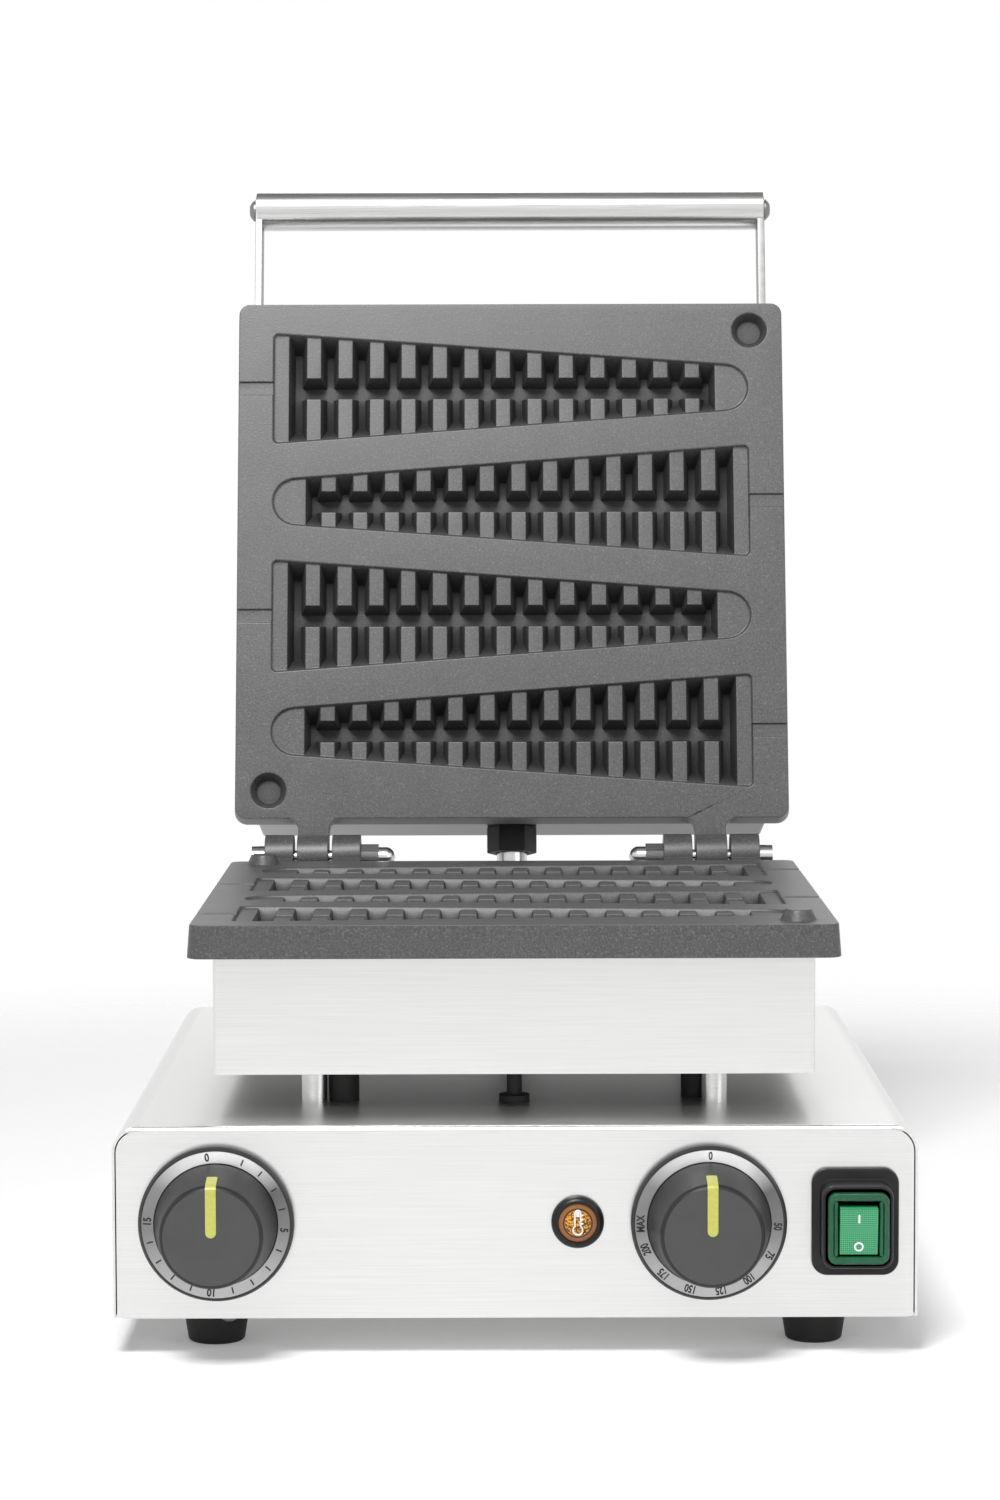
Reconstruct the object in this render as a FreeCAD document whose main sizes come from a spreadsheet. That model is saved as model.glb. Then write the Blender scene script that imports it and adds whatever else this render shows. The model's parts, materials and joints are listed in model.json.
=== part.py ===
import FreeCAD, Part
import math
import os
import re

import Sketcher

# Stick waffle iron: a control base, a fixed lower plate in its box, and a hinged upper plate in a lid.
# Millimetres and degrees. +Z is up, +Y runs from the control panel to the back, and the origin is on
# the table below the middle of the object as it stands with the lid open.

SIZES = {
    # Base housing
    "front_y": -187.42,
    "base_width": 305,
    "base_depth": 325,
    "base_height": 73,
    "sheet_metal": 1,
    "wrap_radius": 10,
    "fold_radius": 2,
    "flange_width": 14,
    "seam_gap": 0.5,
    # Clearances: a running or threaded fit, a clearance hole and free play, each on the radius
    "fit_gap": 0.05,
    "hole_gap": 0.2,
    "play": 0.4,
    # Feet and bottom plate
    "foot_height": 14,
    "foot_top_diameter": 26,
    "foot_bottom_diameter": 22,
    "foot_edge": 1.5,
    "foot_side_inset": 37,
    "foot_end_inset": 30,
    "foot_recess_diameter": 11,
    "foot_recess_depth": 9,
    "foot_screw": 4,
    "foot_screw_head": 8,
    "foot_screw_head_height": 3,
    "foot_screw_tail": 4,
    "floor_inset": 3,
    "vent_count": 8,
    "vent_width": 3.5,
    "vent_length": 60,
    "vent_pitch": 12,
    "cover_screw": 3,
    "cover_screw_head": 6.5,
    "cover_screw_head_height": 1.7,
    "cover_screw_tail": 4,
    "cover_screw_inset": 7,
    "cover_screw_x": 109,
    "cover_screw_y": 80,
    # Places of the controls on the front panel
    "control_height": 36.5,
    "timer_x": -113,
    "thermostat_x": 73.3,
    "lamp_x": 23.7,
    "switch_x": 128.7,
    # Dials
    "bezel_diameter": 59,
    "bezel_side": 3.4,
    "bezel_rim": 4.6,
    "bezel_rim_width": 0.7,
    "bezel_seat": 4,
    "bezel_floor": 2,
    "ring_outer": 56,
    "ring_inner": 47.2,
    "ring_thickness": 1,
    "knob_back": 2.5,
    "knob_base": 46.4,
    "knob_collar": 3.5,
    "knob_front": 39.3,
    "knob_face": 36,
    "knob_reach": 30,
    "knob_edge": 2.4,
    "knob_edge_radius": 3,
    "knob_socket": 21,
    "pointer_width": 4.1,
    "pointer_depth": 0.8,
    "pointer_proud": 0.3,
    "pointer_back": 20,
    "shaft_diameter": 6,
    "shaft_inside": 20,
    "shaft_hole": 10,
    "timer_body_width": 46,
    "timer_body_depth": 32,
    "thermostat_body_width": 40,
    "thermostat_body_depth": 28,
    # Thermostat capillary and bulb
    "capillary_diameter": 2,
    "capillary_bend": 12,
    "bulb_diameter": 6,
    "bulb_length": 55,
    "bulb_start": 14,
    # Pilot lamp
    "lamp_bezel_diameter": 20,
    "lamp_bezel_side": 1.2,
    "lamp_bezel_reach": 3.2,
    "lamp_bezel_mouth": 16.8,
    "lamp_bezel_round": 3,
    "lamp_lens_diameter": 14.6,
    "lamp_lens_side": 2.8,
    "lamp_lens_reach": 4.2,
    "lamp_lens_round": 20,
    "lamp_seat": 1.5,
    "lamp_body_diameter": 13,
    "lamp_body_depth": 24,
    # Rocker switch
    "switch_width": 33,
    "switch_height": 41,
    "switch_corner": 6,
    "switch_flange": 2.5,
    "switch_wall_width": 26.6,
    "switch_wall_height": 31.6,
    "switch_wall_corner": 4.6,
    "switch_wall_reach": 13.5,
    "boot_width": 23,
    "boot_height": 27,
    "boot_corner": 3.4,
    "boot_reach": 17,
    "boot_window_width": 18.6,
    "boot_window_height": 21,
    "boot_window_corner": 1.5,
    "rocker_width": 14.4,
    "rocker_height": 18,
    "rocker_reach": 17.1,
    "rocker_side": 11.7,
    "rocker_root_width": 6,
    "rocker_root": 8.9,
    "rocker_axle": 3,
    "rocker_axle_height": 10.5,
    "rocker_tilt": 8,
    "ear_thickness": 1.4,
    "ear_width": 6,
    "ear_reach": 12.5,
    "switch_body_width": 21.8,
    "switch_body_height": 29.8,
    "switch_body_depth": 26,
    # Cable gland on the rear panel
    "gland_x": -110,
    "gland_height": 30,
    "gland_bore": 8,
    "gland_thread": 16,
    "gland_inside": 6,
    "gland_hex": 22,
    "gland_hex_height": 6,
    "gland_reach": 18,
    "gland_shoulder": 20,
    "gland_mouth": 13,
    # Posts between the base and the lower box
    "post_x": 78.5,
    "post_front": 59,
    "post_spacing": 165,
    "post_diameter": 10,
    "post_height": 14.2,
    "bolt_diameter": 6,
    "bolt_head": 10,
    "bolt_head_height": 5,
    "bolt_grip": 7.5,
    "sleeve_diameter": 12,
    "sleeve_bore": 7,
    "sleeve_left_x": -67,
    "sleeve_left_y": 62,
    "sleeve_right_x": 72,
    "sleeve_right_y": 71,
    "sensor_y": 57,
    "sensor_sleeve": 6,
    "grommet_diameter": 12,
    "grommet_height": 3,
    # Cast plates
    "plate_setback": 26,
    "plate_width": 250,
    "plate_depth": 240,
    "plate_edge": 13,
    "plate_draft": 4.4,
    "plate_corner": 5,
    "block_thickness": 8,
    "block_clearance": 2,
    "parting_gap": 0.4,
    # Pockets for the batter
    "pocket_pitch": 53.4,
    "pocket_length": 218.6,
    "pocket_wide": 52.5,
    "pocket_narrow": 22.3,
    "pocket_corner": 2.6,
    "pocket_depth": 12,
    "ledge_depth": 1.2,
    "wide_ledge": 7.4,
    "narrow_ledge": 15.4,
    "wall_draft": 30,
    "tooth_draft": 12,
    "tooth_width": 6.6,
    "tooth_pitch": 14.5,
    "tooth_count": 13,
    "first_tooth": 18.8,
    "tooth_reach": 27.5,
    "spine_width": 9.8,
    "stick_width": 6.3,
    "stick_depth": 1,
    # Guides that line the plates up
    "guide_x": 110,
    "guide_inset": 12.8,
    "guide_base": 14.4,
    "guide_top": 10.4,
    "guide_height": 4.5,
    "guide_mouth": 16.3,
    "guide_floor": 10.6,
    "guide_recess": 5.2,
    # Sheet boxes round the plates
    "box_width": 233,
    "lower_box_height": 46.3,
    "lid_box_height": 50,
    "box_front_inset": 10,
    "box_rear_inset": 1.5,
    "box_corner": 1.5,
    # Heaters and their clamps
    "heater_diameter": 8,
    "heater_spread": 45,
    "heater_bend": 30,
    "heater_start": 60,
    "heater_run": 95,
    "clamp_width": 120,
    "clamp_depth": 110,
    "clamp_thickness": 3,
    "clamp_start": 58,
    "clamp_bolt_spacing": 70,
    # Hinge
    "hinge_offset": 17.7,
    "hinge_barrel": 20,
    "hinge_pin": 6,
    "inner_lug_start": 68,
    "inner_lug_end": 80.8,
    "knuckle_start": 82.5,
    "knuckle_end": 96.5,
    "knuckle_root": 5,
    "outer_lug_start": 98,
    "outer_lug_end": 111,
    "hinge_head": 10,
    "hinge_head_length": 6,
    "hinge_socket": 5,
    "hinge_socket_depth": 3,
    "nut_flats": 10,
    "nut_thickness": 4,
    "cap_nut_hex": 4,
    "cap_nut_dome": 7.5,
    "cap_nut_diameter": 8.8,
    "cap_nut_thread": 4,
    "lid_open_angle": 104,
    # Handle
    "handle_diameter": 19,
    "handle_length": 238.6,
    "handle_reach": 56,
    "handle_height": 35,
    "arm_width": 14,
    "arm_thickness": 3.3,
    "arm_overlap": 60,
    "handle_screw": 6,
    "handle_screw_head": 10,
    "handle_screw_head_height": 3,
    "handle_screw_length": 18,
    "arm_screw": 4,
    "arm_screw_head": 8,
    "arm_screw_head_height": 2.4,
    "arm_screw_tail": 5,
    "arm_screw_first": 18,
    "arm_screw_spacing": 28,
    # Lid wiring
    "conduit_height": 25,
    "conduit_nut_flats": 20,
    "conduit_nut_height": 12.2,
    "hose_diameter": 14,
    "hose_bore": 11,
    "hose_tail": 25,
    "hose_bend": 180,
    "bush_y": 310,
    "bush_thread": 17,
    "bush_inside": 6,
    "bush_flange": 22,
    "bush_height": 4,
    "bush_side": 2,
    "bush_round": 2.5,
}

doc = FreeCAD.newDocument("StickWaffleIron")
sheet = doc.addObject("Spreadsheet::Sheet", "Sizes")
for row, (name, number) in enumerate(SIZES.items(), start=1):
    sheet.set(f"A{row}", name)
    sheet.set(f"B{row}", str(number))
    sheet.setAlias(f"B{row}", name)
doc.recompute()

# Places worked out from the sizes
HOUSING_Z = "(foot_height + sheet_metal)"
TOP_Z = f"({HOUSING_Z} + base_height)"
BACK_Y = "(front_y + base_depth)"
CONTROL_Z = f"({HOUSING_Z} + control_height)"
BOX_Z = f"({TOP_Z} + post_height)"
PARTING_Z = f"({BOX_Z} + lower_box_height + plate_edge)"
HINGE_Y = "(front_y + plate_setback + plate_depth + hinge_offset)"
POST_Y = ("(front_y + post_front)", "(front_y + post_front + post_spacing)")
SENSOR_Y = "(front_y + sensor_y)"
BLOCK_BASE = "(plate_edge + block_thickness)"
PLATE_FRONT = "(0 - hinge_offset - plate_depth)"
BOX_FRONT = f"({PLATE_FRONT} + box_front_inset)"
BOX_REAR = "(0 - hinge_offset - box_rear_inset)"
PLATE_MIDDLE = "(0 - hinge_offset - plate_depth / 2)"
HANDLE_Y = f"({PLATE_FRONT} - handle_reach)"
LID_BASE = "(parting_gap + plate_edge)"
LID_BLOCK = f"({LID_BASE} + block_thickness)"
LID_TOP = f"({LID_BASE} + lid_box_height)"
# The angle of a pocket's long sides: each runs from a wide corner, tangent to the narrow round end
PIVOT_RUN = "(pocket_length - pocket_narrow / 2)"
SIDE_ANGLE = (
    f"(atan(pocket_wide / 2 / {PIVOT_RUN})"
    f" - asin(pocket_narrow / 2 / sqrt({PIVOT_RUN} ^ 2 + (pocket_wide / 2) ^ 2)))"
)

TURNS = {
    "up": FreeCAD.Rotation(),
    "down": FreeCAD.Rotation(FreeCAD.Vector(1, 0, 0), 180),
    "front": FreeCAD.Rotation(FreeCAD.Vector(1, 0, 0), 90),
    "back": FreeCAD.Rotation(FreeCAD.Vector(1, 0, 0), -90),
    "right": FreeCAD.Rotation(FreeCAD.Vector(0, 1, 0), 90),
    "left": FreeCAD.Rotation(FreeCAD.Vector(0, 1, 0), -90),
    "half_turn": FreeCAD.Rotation(FreeCAD.Vector(0, 0, 1), 180),
    "down_half_turn": FreeCAD.Rotation(FreeCAD.Vector(0, 1, 0), 180),
}
SIDES = {"left": "-1", "right": "1"}
NODES = []


def tied(expression):
    """The expression with each size's name read from the sheet."""
    return re.sub(r"[a-z][a-z0-9_]*",
                  lambda word: f"Sizes.{word[0]}" if word[0] in SIZES else word[0], expression)


def measure(expression):
    """The number that an expression comes to."""
    return float(sheet.evalExpression(tied(expression)))


def place(item, x="0", y="0", z="0", facing="up"):
    """Puts an item's own origin at a point, with its own +Z axis facing the given way."""
    item.Placement = FreeCAD.Placement(FreeCAD.Vector(), TURNS[facing])
    for axis, expression in zip("xyz", (x, y, z)):
        item.setExpression(f"Placement.Base.{axis}", tied(expression))
    return item


def seat_on_lid(item):
    """Swings an item that was made with the lid closed, about the hinge, to the open lid."""
    item.Placement = FreeCAD.Placement(FreeCAD.Vector(), FreeCAD.Rotation(FreeCAD.Vector(1, 0, 0), 1))
    item.setExpression("Placement.Rotation.Angle", tied("0 - lid_open_angle"))
    item.setExpression("Placement.Base.y", tied(HINGE_Y))
    item.setExpression("Placement.Base.z", tied(PARTING_Z))
    return item


def node(label, item, on_lid=False):
    """Names a finished sub-part, and swings it open if it belongs to the lid."""
    if on_lid:
        item = seat_on_lid(group(f"{label}_piece", [item]))
    item.Label = label
    NODES.append(item)
    return item


def box(name, x, y, z, length, width, height):
    item = doc.addObject("Part::Box", name)
    for size, expression in (("Length", length), ("Width", width), ("Height", height)):
        item.setExpression(size, tied(expression))
    return place(item, x, y, z)


def cylinder(name, diameter, height, x="0", y="0", z="0", facing="up"):
    item = doc.addObject("Part::Cylinder", name)
    item.setExpression("Radius", tied(f"({diameter}) / 2"))
    item.setExpression("Height", tied(height))
    return place(item, x, y, z, facing)


def cone(name, start, end, height, x, y, z, facing="up"):
    item = doc.addObject("Part::Cone", name)
    item.setExpression("Radius1", tied(f"({start}) / 2"))
    item.setExpression("Radius2", tied(f"({end}) / 2"))
    item.setExpression("Height", tied(height))
    return place(item, x, y, z, facing)


def hexagon(name, flats, height, x="0", y="0", z="0", facing="up"):
    item = doc.addObject("Part::Prism", name)
    item.Polygon = 6
    item.setExpression("Circumradius", tied(f"({flats}) / sqrt(3)"))
    item.setExpression("Height", tied(height))
    return place(item, x, y, z, facing)


def group(name, items):
    item = doc.addObject("Part::Compound", name)
    item.Links = items
    return item


def fuse(name, items):
    item = doc.addObject("Part::MultiFuse", name)
    item.Shapes = items
    return item


def common(name, items):
    item = doc.addObject("Part::MultiCommon", name)
    item.Shapes = items
    return item


def cut(name, base, tools):
    """Cuts tools, which stay clear of one another, out of the base."""
    item = doc.addObject("Part::Cut", name)
    item.Base = base
    item.Tool = tools[0] if len(tools) == 1 else group(f"{name}_tools", tools)
    return item


def new_body(name):
    return doc.addObject("PartDesign::Body", name)


def new_sketch(body, name, plane="XY_Plane", height="0"):
    """A sketch on one of the body's own planes, moved along the plane's normal."""
    sketch = body.newObject("Sketcher::SketchObject", name)
    support = next(feature for feature in body.Origin.OriginFeatures if feature.Role == plane)
    sketch.AttachmentSupport = (support, [""])
    sketch.MapMode = "FlatFace"
    sketch.setExpression("AttachmentOffset.Base.z", tied(height))
    return sketch


def arc_between(start, end, radius):
    """A short arc round its centre, which lies to the left of the way from start to end if radius > 0."""
    chord = end - start
    rise = abs(radius) - math.sqrt(max(radius ** 2 - (chord.Length / 2) ** 2, 0))
    side = FreeCAD.Vector(chord.y, -chord.x, 0).normalize() * math.copysign(rise, radius)
    middle = (start + end) / 2 + side
    return Part.Arc(start, middle, end) if radius > 0 else Part.Arc(end, middle, start)


def draw(sketch, corners):
    """Draws a closed outline, anticlockwise. Each corner is (u, v), or (u, v, radius) where an arc runs to the
    next one, with a radius below 0 for a hollow arc."""
    points = [FreeCAD.Vector(measure(corner[0]), measure(corner[1]), 0) for corner in corners]
    first = sketch.GeometryCount
    ends = []
    for index, corner in enumerate(corners):
        start, end = points[index], points[(index + 1) % len(points)]
        is_arc = len(corner) == 3
        edge = arc_between(start, end, measure(corner[2])) if is_arc else Part.LineSegment(start, end)
        added = sketch.addGeometry(edge)
        ends.append((2, 1) if is_arc and measure(corner[2]) < 0 else (1, 2))
        if is_arc:
            radius = sketch.addConstraint(Sketcher.Constraint("Radius", added, abs(measure(corner[2]))))
            sketch.setExpression(f"Constraints[{radius}]", tied(f"abs({corner[2]})"))
    for index, corner in enumerate(corners):
        edge, after = first + index, first + (index + 1) % len(corners)
        following = ends[(index + 1) % len(corners)][0]
        sketch.addConstraint(Sketcher.Constraint("Coincident", edge, ends[index][1], after, following))
        for kind, axis, expression in (("DistanceX", -2, corner[0]), ("DistanceY", -1, corner[1])):
            if expression == "0":
                sketch.addConstraint(Sketcher.Constraint("PointOnObject", edge, ends[index][0], axis))
                continue
            distance = Sketcher.Constraint(kind, -1, 1, edge, ends[index][0], measure(expression))
            sketch.setExpression(f"Constraints[{sketch.addConstraint(distance)}]", tied(expression))


def draw_rounded(sketch, left, right, low, high, radius):
    """Draws a rectangle with rounded corners."""
    draw(sketch, [
        (f"{left} + {radius}", low),
        (f"{right} - {radius}", low, radius),
        (right, f"{low} + {radius}"),
        (right, f"{high} - {radius}", radius),
        (f"{right} - {radius}", high),
        (f"{left} + {radius}", high, radius),
        (left, f"{high} - {radius}"),
        (left, f"{low} + {radius}", radius),
    ])


def extrude(body, sketch, length, taper="0", reverse=False, kind="PartDesign::Pad"):
    """Extrudes a sketch along its normal. A taper above 0 widens a pad as it goes."""
    feature = body.newObject(kind, f"{sketch.Name}_run")
    feature.Profile = sketch
    feature.setExpression("Length", tied(length))
    feature.setExpression("TaperAngle", tied(taper))
    feature.Reversed = reverse
    doc.recompute()
    return feature


def turned(name, corners):
    """A body turned about its own Z axis from an outline of (radius, height) corners."""
    body = new_body(name)
    sketch = new_sketch(body, f"{name}_section", "XZ_Plane")
    draw(sketch, corners)
    turn = body.newObject("PartDesign::Revolution", f"{name}_turn")
    turn.Profile = sketch
    turn.ReferenceAxis = (sketch, ["V_Axis"])
    turn.Angle = 360
    doc.recompute()
    return body


def slab(name, left, right, low, high, radius, z, height, facing="up"):
    """A rounded rectangular plate as a body of its own."""
    body = new_body(name)
    sketch = new_sketch(body, f"{name}_outline")
    draw_rounded(sketch, left, right, low, high, radius)
    extrude(body, sketch, height)
    return place(body, z=z, facing=facing)


def bent_path(points, bend):
    """Straight runs through the points, joined by tangent arcs of radius bend."""
    edges = []
    start = points[0]
    for before, corner, after in zip(points, points[1:], points[2:]):
        arrive = (corner - before).normalize()
        leave = (after - corner).normalize()
        half_turn = arrive.getAngle(leave) / 2
        first = corner - arrive * bend * math.tan(half_turn)
        last = corner + leave * bend * math.tan(half_turn)
        inward = (leave - arrive).normalize() * bend * (1 / math.cos(half_turn) - 1)
        edges.append(Part.LineSegment(start, first).toShape())
        edges.append(Part.Arc(first, corner + inward, last).toShape())
        start = last
    edges.append(Part.LineSegment(start, points[-1]).toShape())
    return Part.Wire(edges)


def tube(name, points, bend, diameter):
    """A round tube along a bent path, checked against its section times its length."""
    path = bent_path(points, bend)
    ring = Part.Wire(Part.makeCircle(diameter / 2, points[0], points[1] - points[0]))
    solid = path.makePipeShell([ring], True, True)
    expected = math.pi * diameter ** 2 / 4 * path.Length
    if abs(solid.Volume - expected) > 0.01 * expected:
        raise RuntimeError(f"{name} has the wrong volume")
    print(f"{name}: length {path.Length:.1f}, bend radius {bend:.1f}")
    item = doc.addObject("Part::Feature", name)
    item.Shape = solid
    return item


def point(x, y, z):
    return FreeCAD.Vector(measure(x), measure(y), measure(z))


# Base housing: one folded sheet, rounded over at the sides and folded tight at the front and back
def housing_block(name, inset, bottom):
    """The solid inside the housing's skin at a depth below its surface."""
    half = f"(base_width / 2 - {inset})"
    top = f"({TOP_Z} - {inset})"
    wrap = f"(wrap_radius - {inset})"
    fold = f"(fold_radius - {inset} / 2)"
    front, back = f"(front_y + {inset})", f"({BACK_Y} - {inset})"
    across = new_body(f"{name}_across")
    section = new_sketch(across, f"{name}_wrap", "XZ_Plane", f"0 - {front}")
    draw(section, [
        (f"0 - {half}", bottom),
        (half, bottom),
        (half, f"{top} - {wrap}", wrap),
        (f"{half} - {wrap}", top),
        (f"{wrap} - {half}", top, wrap),
        (f"0 - {half}", f"{top} - {wrap}"),
    ])
    extrude(across, section, f"{back} - {front}", reverse=True)
    along = new_body(f"{name}_along")
    section = new_sketch(along, f"{name}_fold", "YZ_Plane", f"0 - {half}")
    draw(section, [
        (front, bottom),
        (back, bottom),
        (back, f"{top} - {fold}", fold),
        (f"{back} - {fold}", top),
        (f"{front} + {fold}", top, fold),
        (front, f"{top} - {fold}"),
    ])
    extrude(along, section, f"{half} * 2")
    return common(name, [across, along])


def panel_seam(name, face_y):
    """The open joint between a folded panel and the side wraps, along its edges and corner arcs."""
    rings = []
    for ring, inset in (("outer", "sheet_metal"), ("inner", "(sheet_metal + seam_gap)")):
        half = f"(base_width / 2 - {inset})"
        top = f"({TOP_Z} - {inset})"
        wrap = f"(wrap_radius - {inset})"
        body = new_body(f"{name}_{ring}")
        sketch = new_sketch(body, f"{name}_{ring}_edge", "XZ_Plane", f"0 - {face_y}")
        draw(sketch, [
            (f"0 - {half}", HOUSING_Z),
            (half, HOUSING_Z),
            (half, f"{top} - {wrap}", wrap),
            (f"{half} - {wrap}", top),
            (f"{wrap} - {half}", top, wrap),
            (f"0 - {half}", f"{top} - {wrap}"),
        ])
        extrude(body, sketch, "sheet_metal", reverse=True)
        rings.append(body)
    middle = box(f"{name}_middle", "wrap_radius - base_width / 2", face_y, HOUSING_Z,
                 "base_width - wrap_radius * 2", "sheet_metal", "base_height")
    return cut(name, cut(f"{name}_frame", rings[0], [rings[1]]), [middle])


def housing_holes():
    holes = [
        cylinder("timer_hole", "shaft_hole", "sheet_metal", "timer_x", "front_y", CONTROL_Z, "back"),
        cylinder("thermostat_hole", "shaft_hole", "sheet_metal", "thermostat_x", "front_y", CONTROL_Z, "back"),
        cylinder("lamp_hole", "lamp_body_diameter + hole_gap * 2", "sheet_metal",
                 "lamp_x", "front_y", CONTROL_Z, "back"),
        box("switch_hole", "switch_x - switch_body_width / 2 - hole_gap", "front_y",
            f"{CONTROL_Z} - switch_body_height / 2 - hole_gap",
            "switch_body_width + hole_gap * 2", "sheet_metal", "switch_body_height + hole_gap * 2"),
        cylinder("gland_hole", "gland_thread + hole_gap * 2", "sheet_metal",
                 "gland_x", BACK_Y, f"{HOUSING_Z} + gland_height", "front"),
        cylinder("bush_hole", "bush_thread + hole_gap * 2", "sheet_metal",
                 "0", "front_y + bush_y", f"{TOP_Z} - sheet_metal"),
        cylinder("sensor_hole", "sensor_sleeve + hole_gap * 2", "sheet_metal",
                 "0", SENSOR_Y, f"{TOP_Z} - sheet_metal"),
    ]
    for side in SIDES:
        holes.append(cylinder(f"sleeve_hole_{side}", "sleeve_bore", "sheet_metal", f"sleeve_{side}_x",
                              f"front_y + sleeve_{side}_y", f"{TOP_Z} - sheet_metal"))
    for index, (x, y) in enumerate(post_places()):
        holes.append(cylinder(f"post_hole_{index}", "bolt_diameter + hole_gap * 2", "sheet_metal",
                              x, y, f"{TOP_Z} - sheet_metal"))
    for index, (x, y) in enumerate(cover_screw_places()):
        holes.append(cylinder(f"flange_hole_{index}", "cover_screw + fit_gap * 2", "sheet_metal",
                              x, y, HOUSING_Z))
    return holes


def post_places():
    return [(f"{sign} * post_x", y) for y in POST_Y for sign in SIDES.values()]


def foot_places():
    ends = ("(front_y + foot_end_inset)", f"({BACK_Y} - foot_end_inset)")
    return [(f"{sign} * (base_width / 2 - foot_side_inset)", y) for y in ends for sign in SIDES.values()]


def cover_screw_places():
    middle_y = "(front_y + base_depth / 2)"
    places = [
        ("0 - cover_screw_x", "front_y + cover_screw_inset"),
        ("0 - cover_screw_x", f"{BACK_Y} - cover_screw_inset"),
        ("cover_screw_x", f"{BACK_Y} - cover_screw_inset"),
    ]
    for sign in SIDES.values():
        x = f"{sign} * (base_width / 2 - cover_screw_inset)"
        places += [(x, f"{middle_y} - cover_screw_y"), (x, f"{middle_y} + cover_screw_y")]
    return places


def make_base_housing():
    outer = housing_block("housing_outer", "0", HOUSING_Z)
    inner = housing_block("housing_inner", "sheet_metal", f"({HOUSING_Z} + sheet_metal)")
    shell = cut("housing_shell", outer, [inner])
    mouth = box("housing_mouth", "flange_width - base_width / 2", "front_y + flange_width", HOUSING_Z,
                "base_width - flange_width * 2", "base_depth - flange_width * 2", "sheet_metal")
    opened = cut("housing_open", shell, [mouth])
    seams = [panel_seam("front_seam", "front_y"), panel_seam("rear_seam", f"({BACK_Y} - sheet_metal)")]
    node("base_housing", cut("housing_finished", opened, housing_holes() + seams))


def make_bottom_plate():
    plate = box("floor_sheet", "floor_inset - base_width / 2", "front_y + floor_inset", "foot_height",
                "base_width - floor_inset * 2", "base_depth - floor_inset * 2", "sheet_metal")
    holes = []
    for index, (x, y) in enumerate(foot_places()):
        holes.append(cylinder(f"foot_hole_{index}", "foot_screw + fit_gap * 2", "sheet_metal",
                              x, y, "foot_height"))
    for index, (x, y) in enumerate(cover_screw_places()):
        holes.append(cylinder(f"cover_hole_{index}", "cover_screw + hole_gap * 2", "sheet_metal",
                              x, y, "foot_height"))
    for index in range(SIZES["vent_count"]):
        holes.append(box(f"vent_{index}", "0 - vent_length / 2",
                         f"front_y + base_depth / 2 + ({index} - vent_count / 2) * vent_pitch", "foot_height",
                         "vent_length", "vent_width", "sheet_metal"))
    node("base_bottom_plate", cut("floor_finished", plate, holes))


def pan_screw(name, head, head_height, shank, length):
    """A pan head that lies below z = 0, with its shank along +Z."""
    return turned(name, [
        ("0", f"0 - {head_height}"),
        (f"{head} / 4", f"0 - {head_height}", head),
        (f"{head} / 2", f"0 - {head_height} / 3"),
        (f"{head} / 2", "0"),
        (f"{shank} / 2", "0"),
        (f"{shank} / 2", length),
        ("0", length),
    ])


def copies(name, original, places):
    """Links that repeat one piece at several places. Each place is (x, y, z, facing)."""
    links = []
    for index, (x, y, z, facing) in enumerate(places):
        link = doc.addObject("App::Link", f"{name}_{index}")
        link.LinkedObject = original
        link.LinkTransform = False
        links.append(place(link, x, y, z, facing))
    return links


def make_feet():
    foot = turned("foot_form", [
        ("foot_recess_diameter / 2", "0"),
        ("foot_bottom_diameter / 2 - foot_edge", "0", "foot_edge"),
        ("foot_bottom_diameter / 2", "foot_edge"),
        ("foot_top_diameter / 2", "foot_height"),
        ("foot_screw / 2 + hole_gap", "foot_height"),
        ("foot_screw / 2 + hole_gap", "foot_recess_depth"),
        ("foot_recess_diameter / 2", "foot_recess_depth"),
    ])
    screw = pan_screw("foot_screw_form", "foot_screw_head", "foot_screw_head_height", "foot_screw",
                      "(foot_height - foot_recess_depth + sheet_metal + foot_screw_tail)")
    names = ("foot_front_left", "foot_front_right", "foot_rear_left", "foot_rear_right")
    for label, (x, y) in zip(names, foot_places()):
        node(label, copies(label, foot, [(x, y, "0", "up")])[0])
    places = [(x, y, "foot_recess_depth", "up") for x, y in foot_places()]
    node("foot_screws", group("foot_screw_set", copies("foot_screw_copy", screw, places)))


def make_cover_screws():
    screw = pan_screw("cover_screw_form", "cover_screw_head", "cover_screw_head_height", "cover_screw",
                      "(sheet_metal * 2 + cover_screw_tail)")
    places = [(x, y, "foot_height", "up") for x, y in cover_screw_places()]
    node("cover_screws", group("cover_screw_set", copies("cover_screw_copy", screw, places)))


# Dials: each is made on the panel, with +Z out of the panel, and then placed
def knob_form(name, grow):
    """The knob's outer form, grown by a skin."""
    return turned(name, [
        ("0", "knob_back"),
        (f"knob_base / 2 + {grow}", "knob_back"),
        (f"knob_base / 2 + {grow}", "knob_back + knob_collar"),
        (f"knob_front / 2 + {grow}", f"knob_reach - knob_edge + {grow}", "knob_edge_radius"),
        (f"knob_face / 2 + {grow}", f"knob_reach + {grow}"),
        ("0", f"knob_reach + {grow}"),
    ])


def pointer_bar(name, width):
    """An upright bar from the knob's middle out past its edge, round at its lower end."""
    height = "(knob_reach - pointer_back + pointer_proud * 2)"
    straight = box(f"{name}_run", f"0 - {width} / 2", "pointer_width / 2", "pointer_back",
                   width, "knob_base / 2", height)
    end = cylinder(f"{name}_end", width, height, "0", "pointer_width / 2", "pointer_back")
    return fuse(name, [straight, end])


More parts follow.
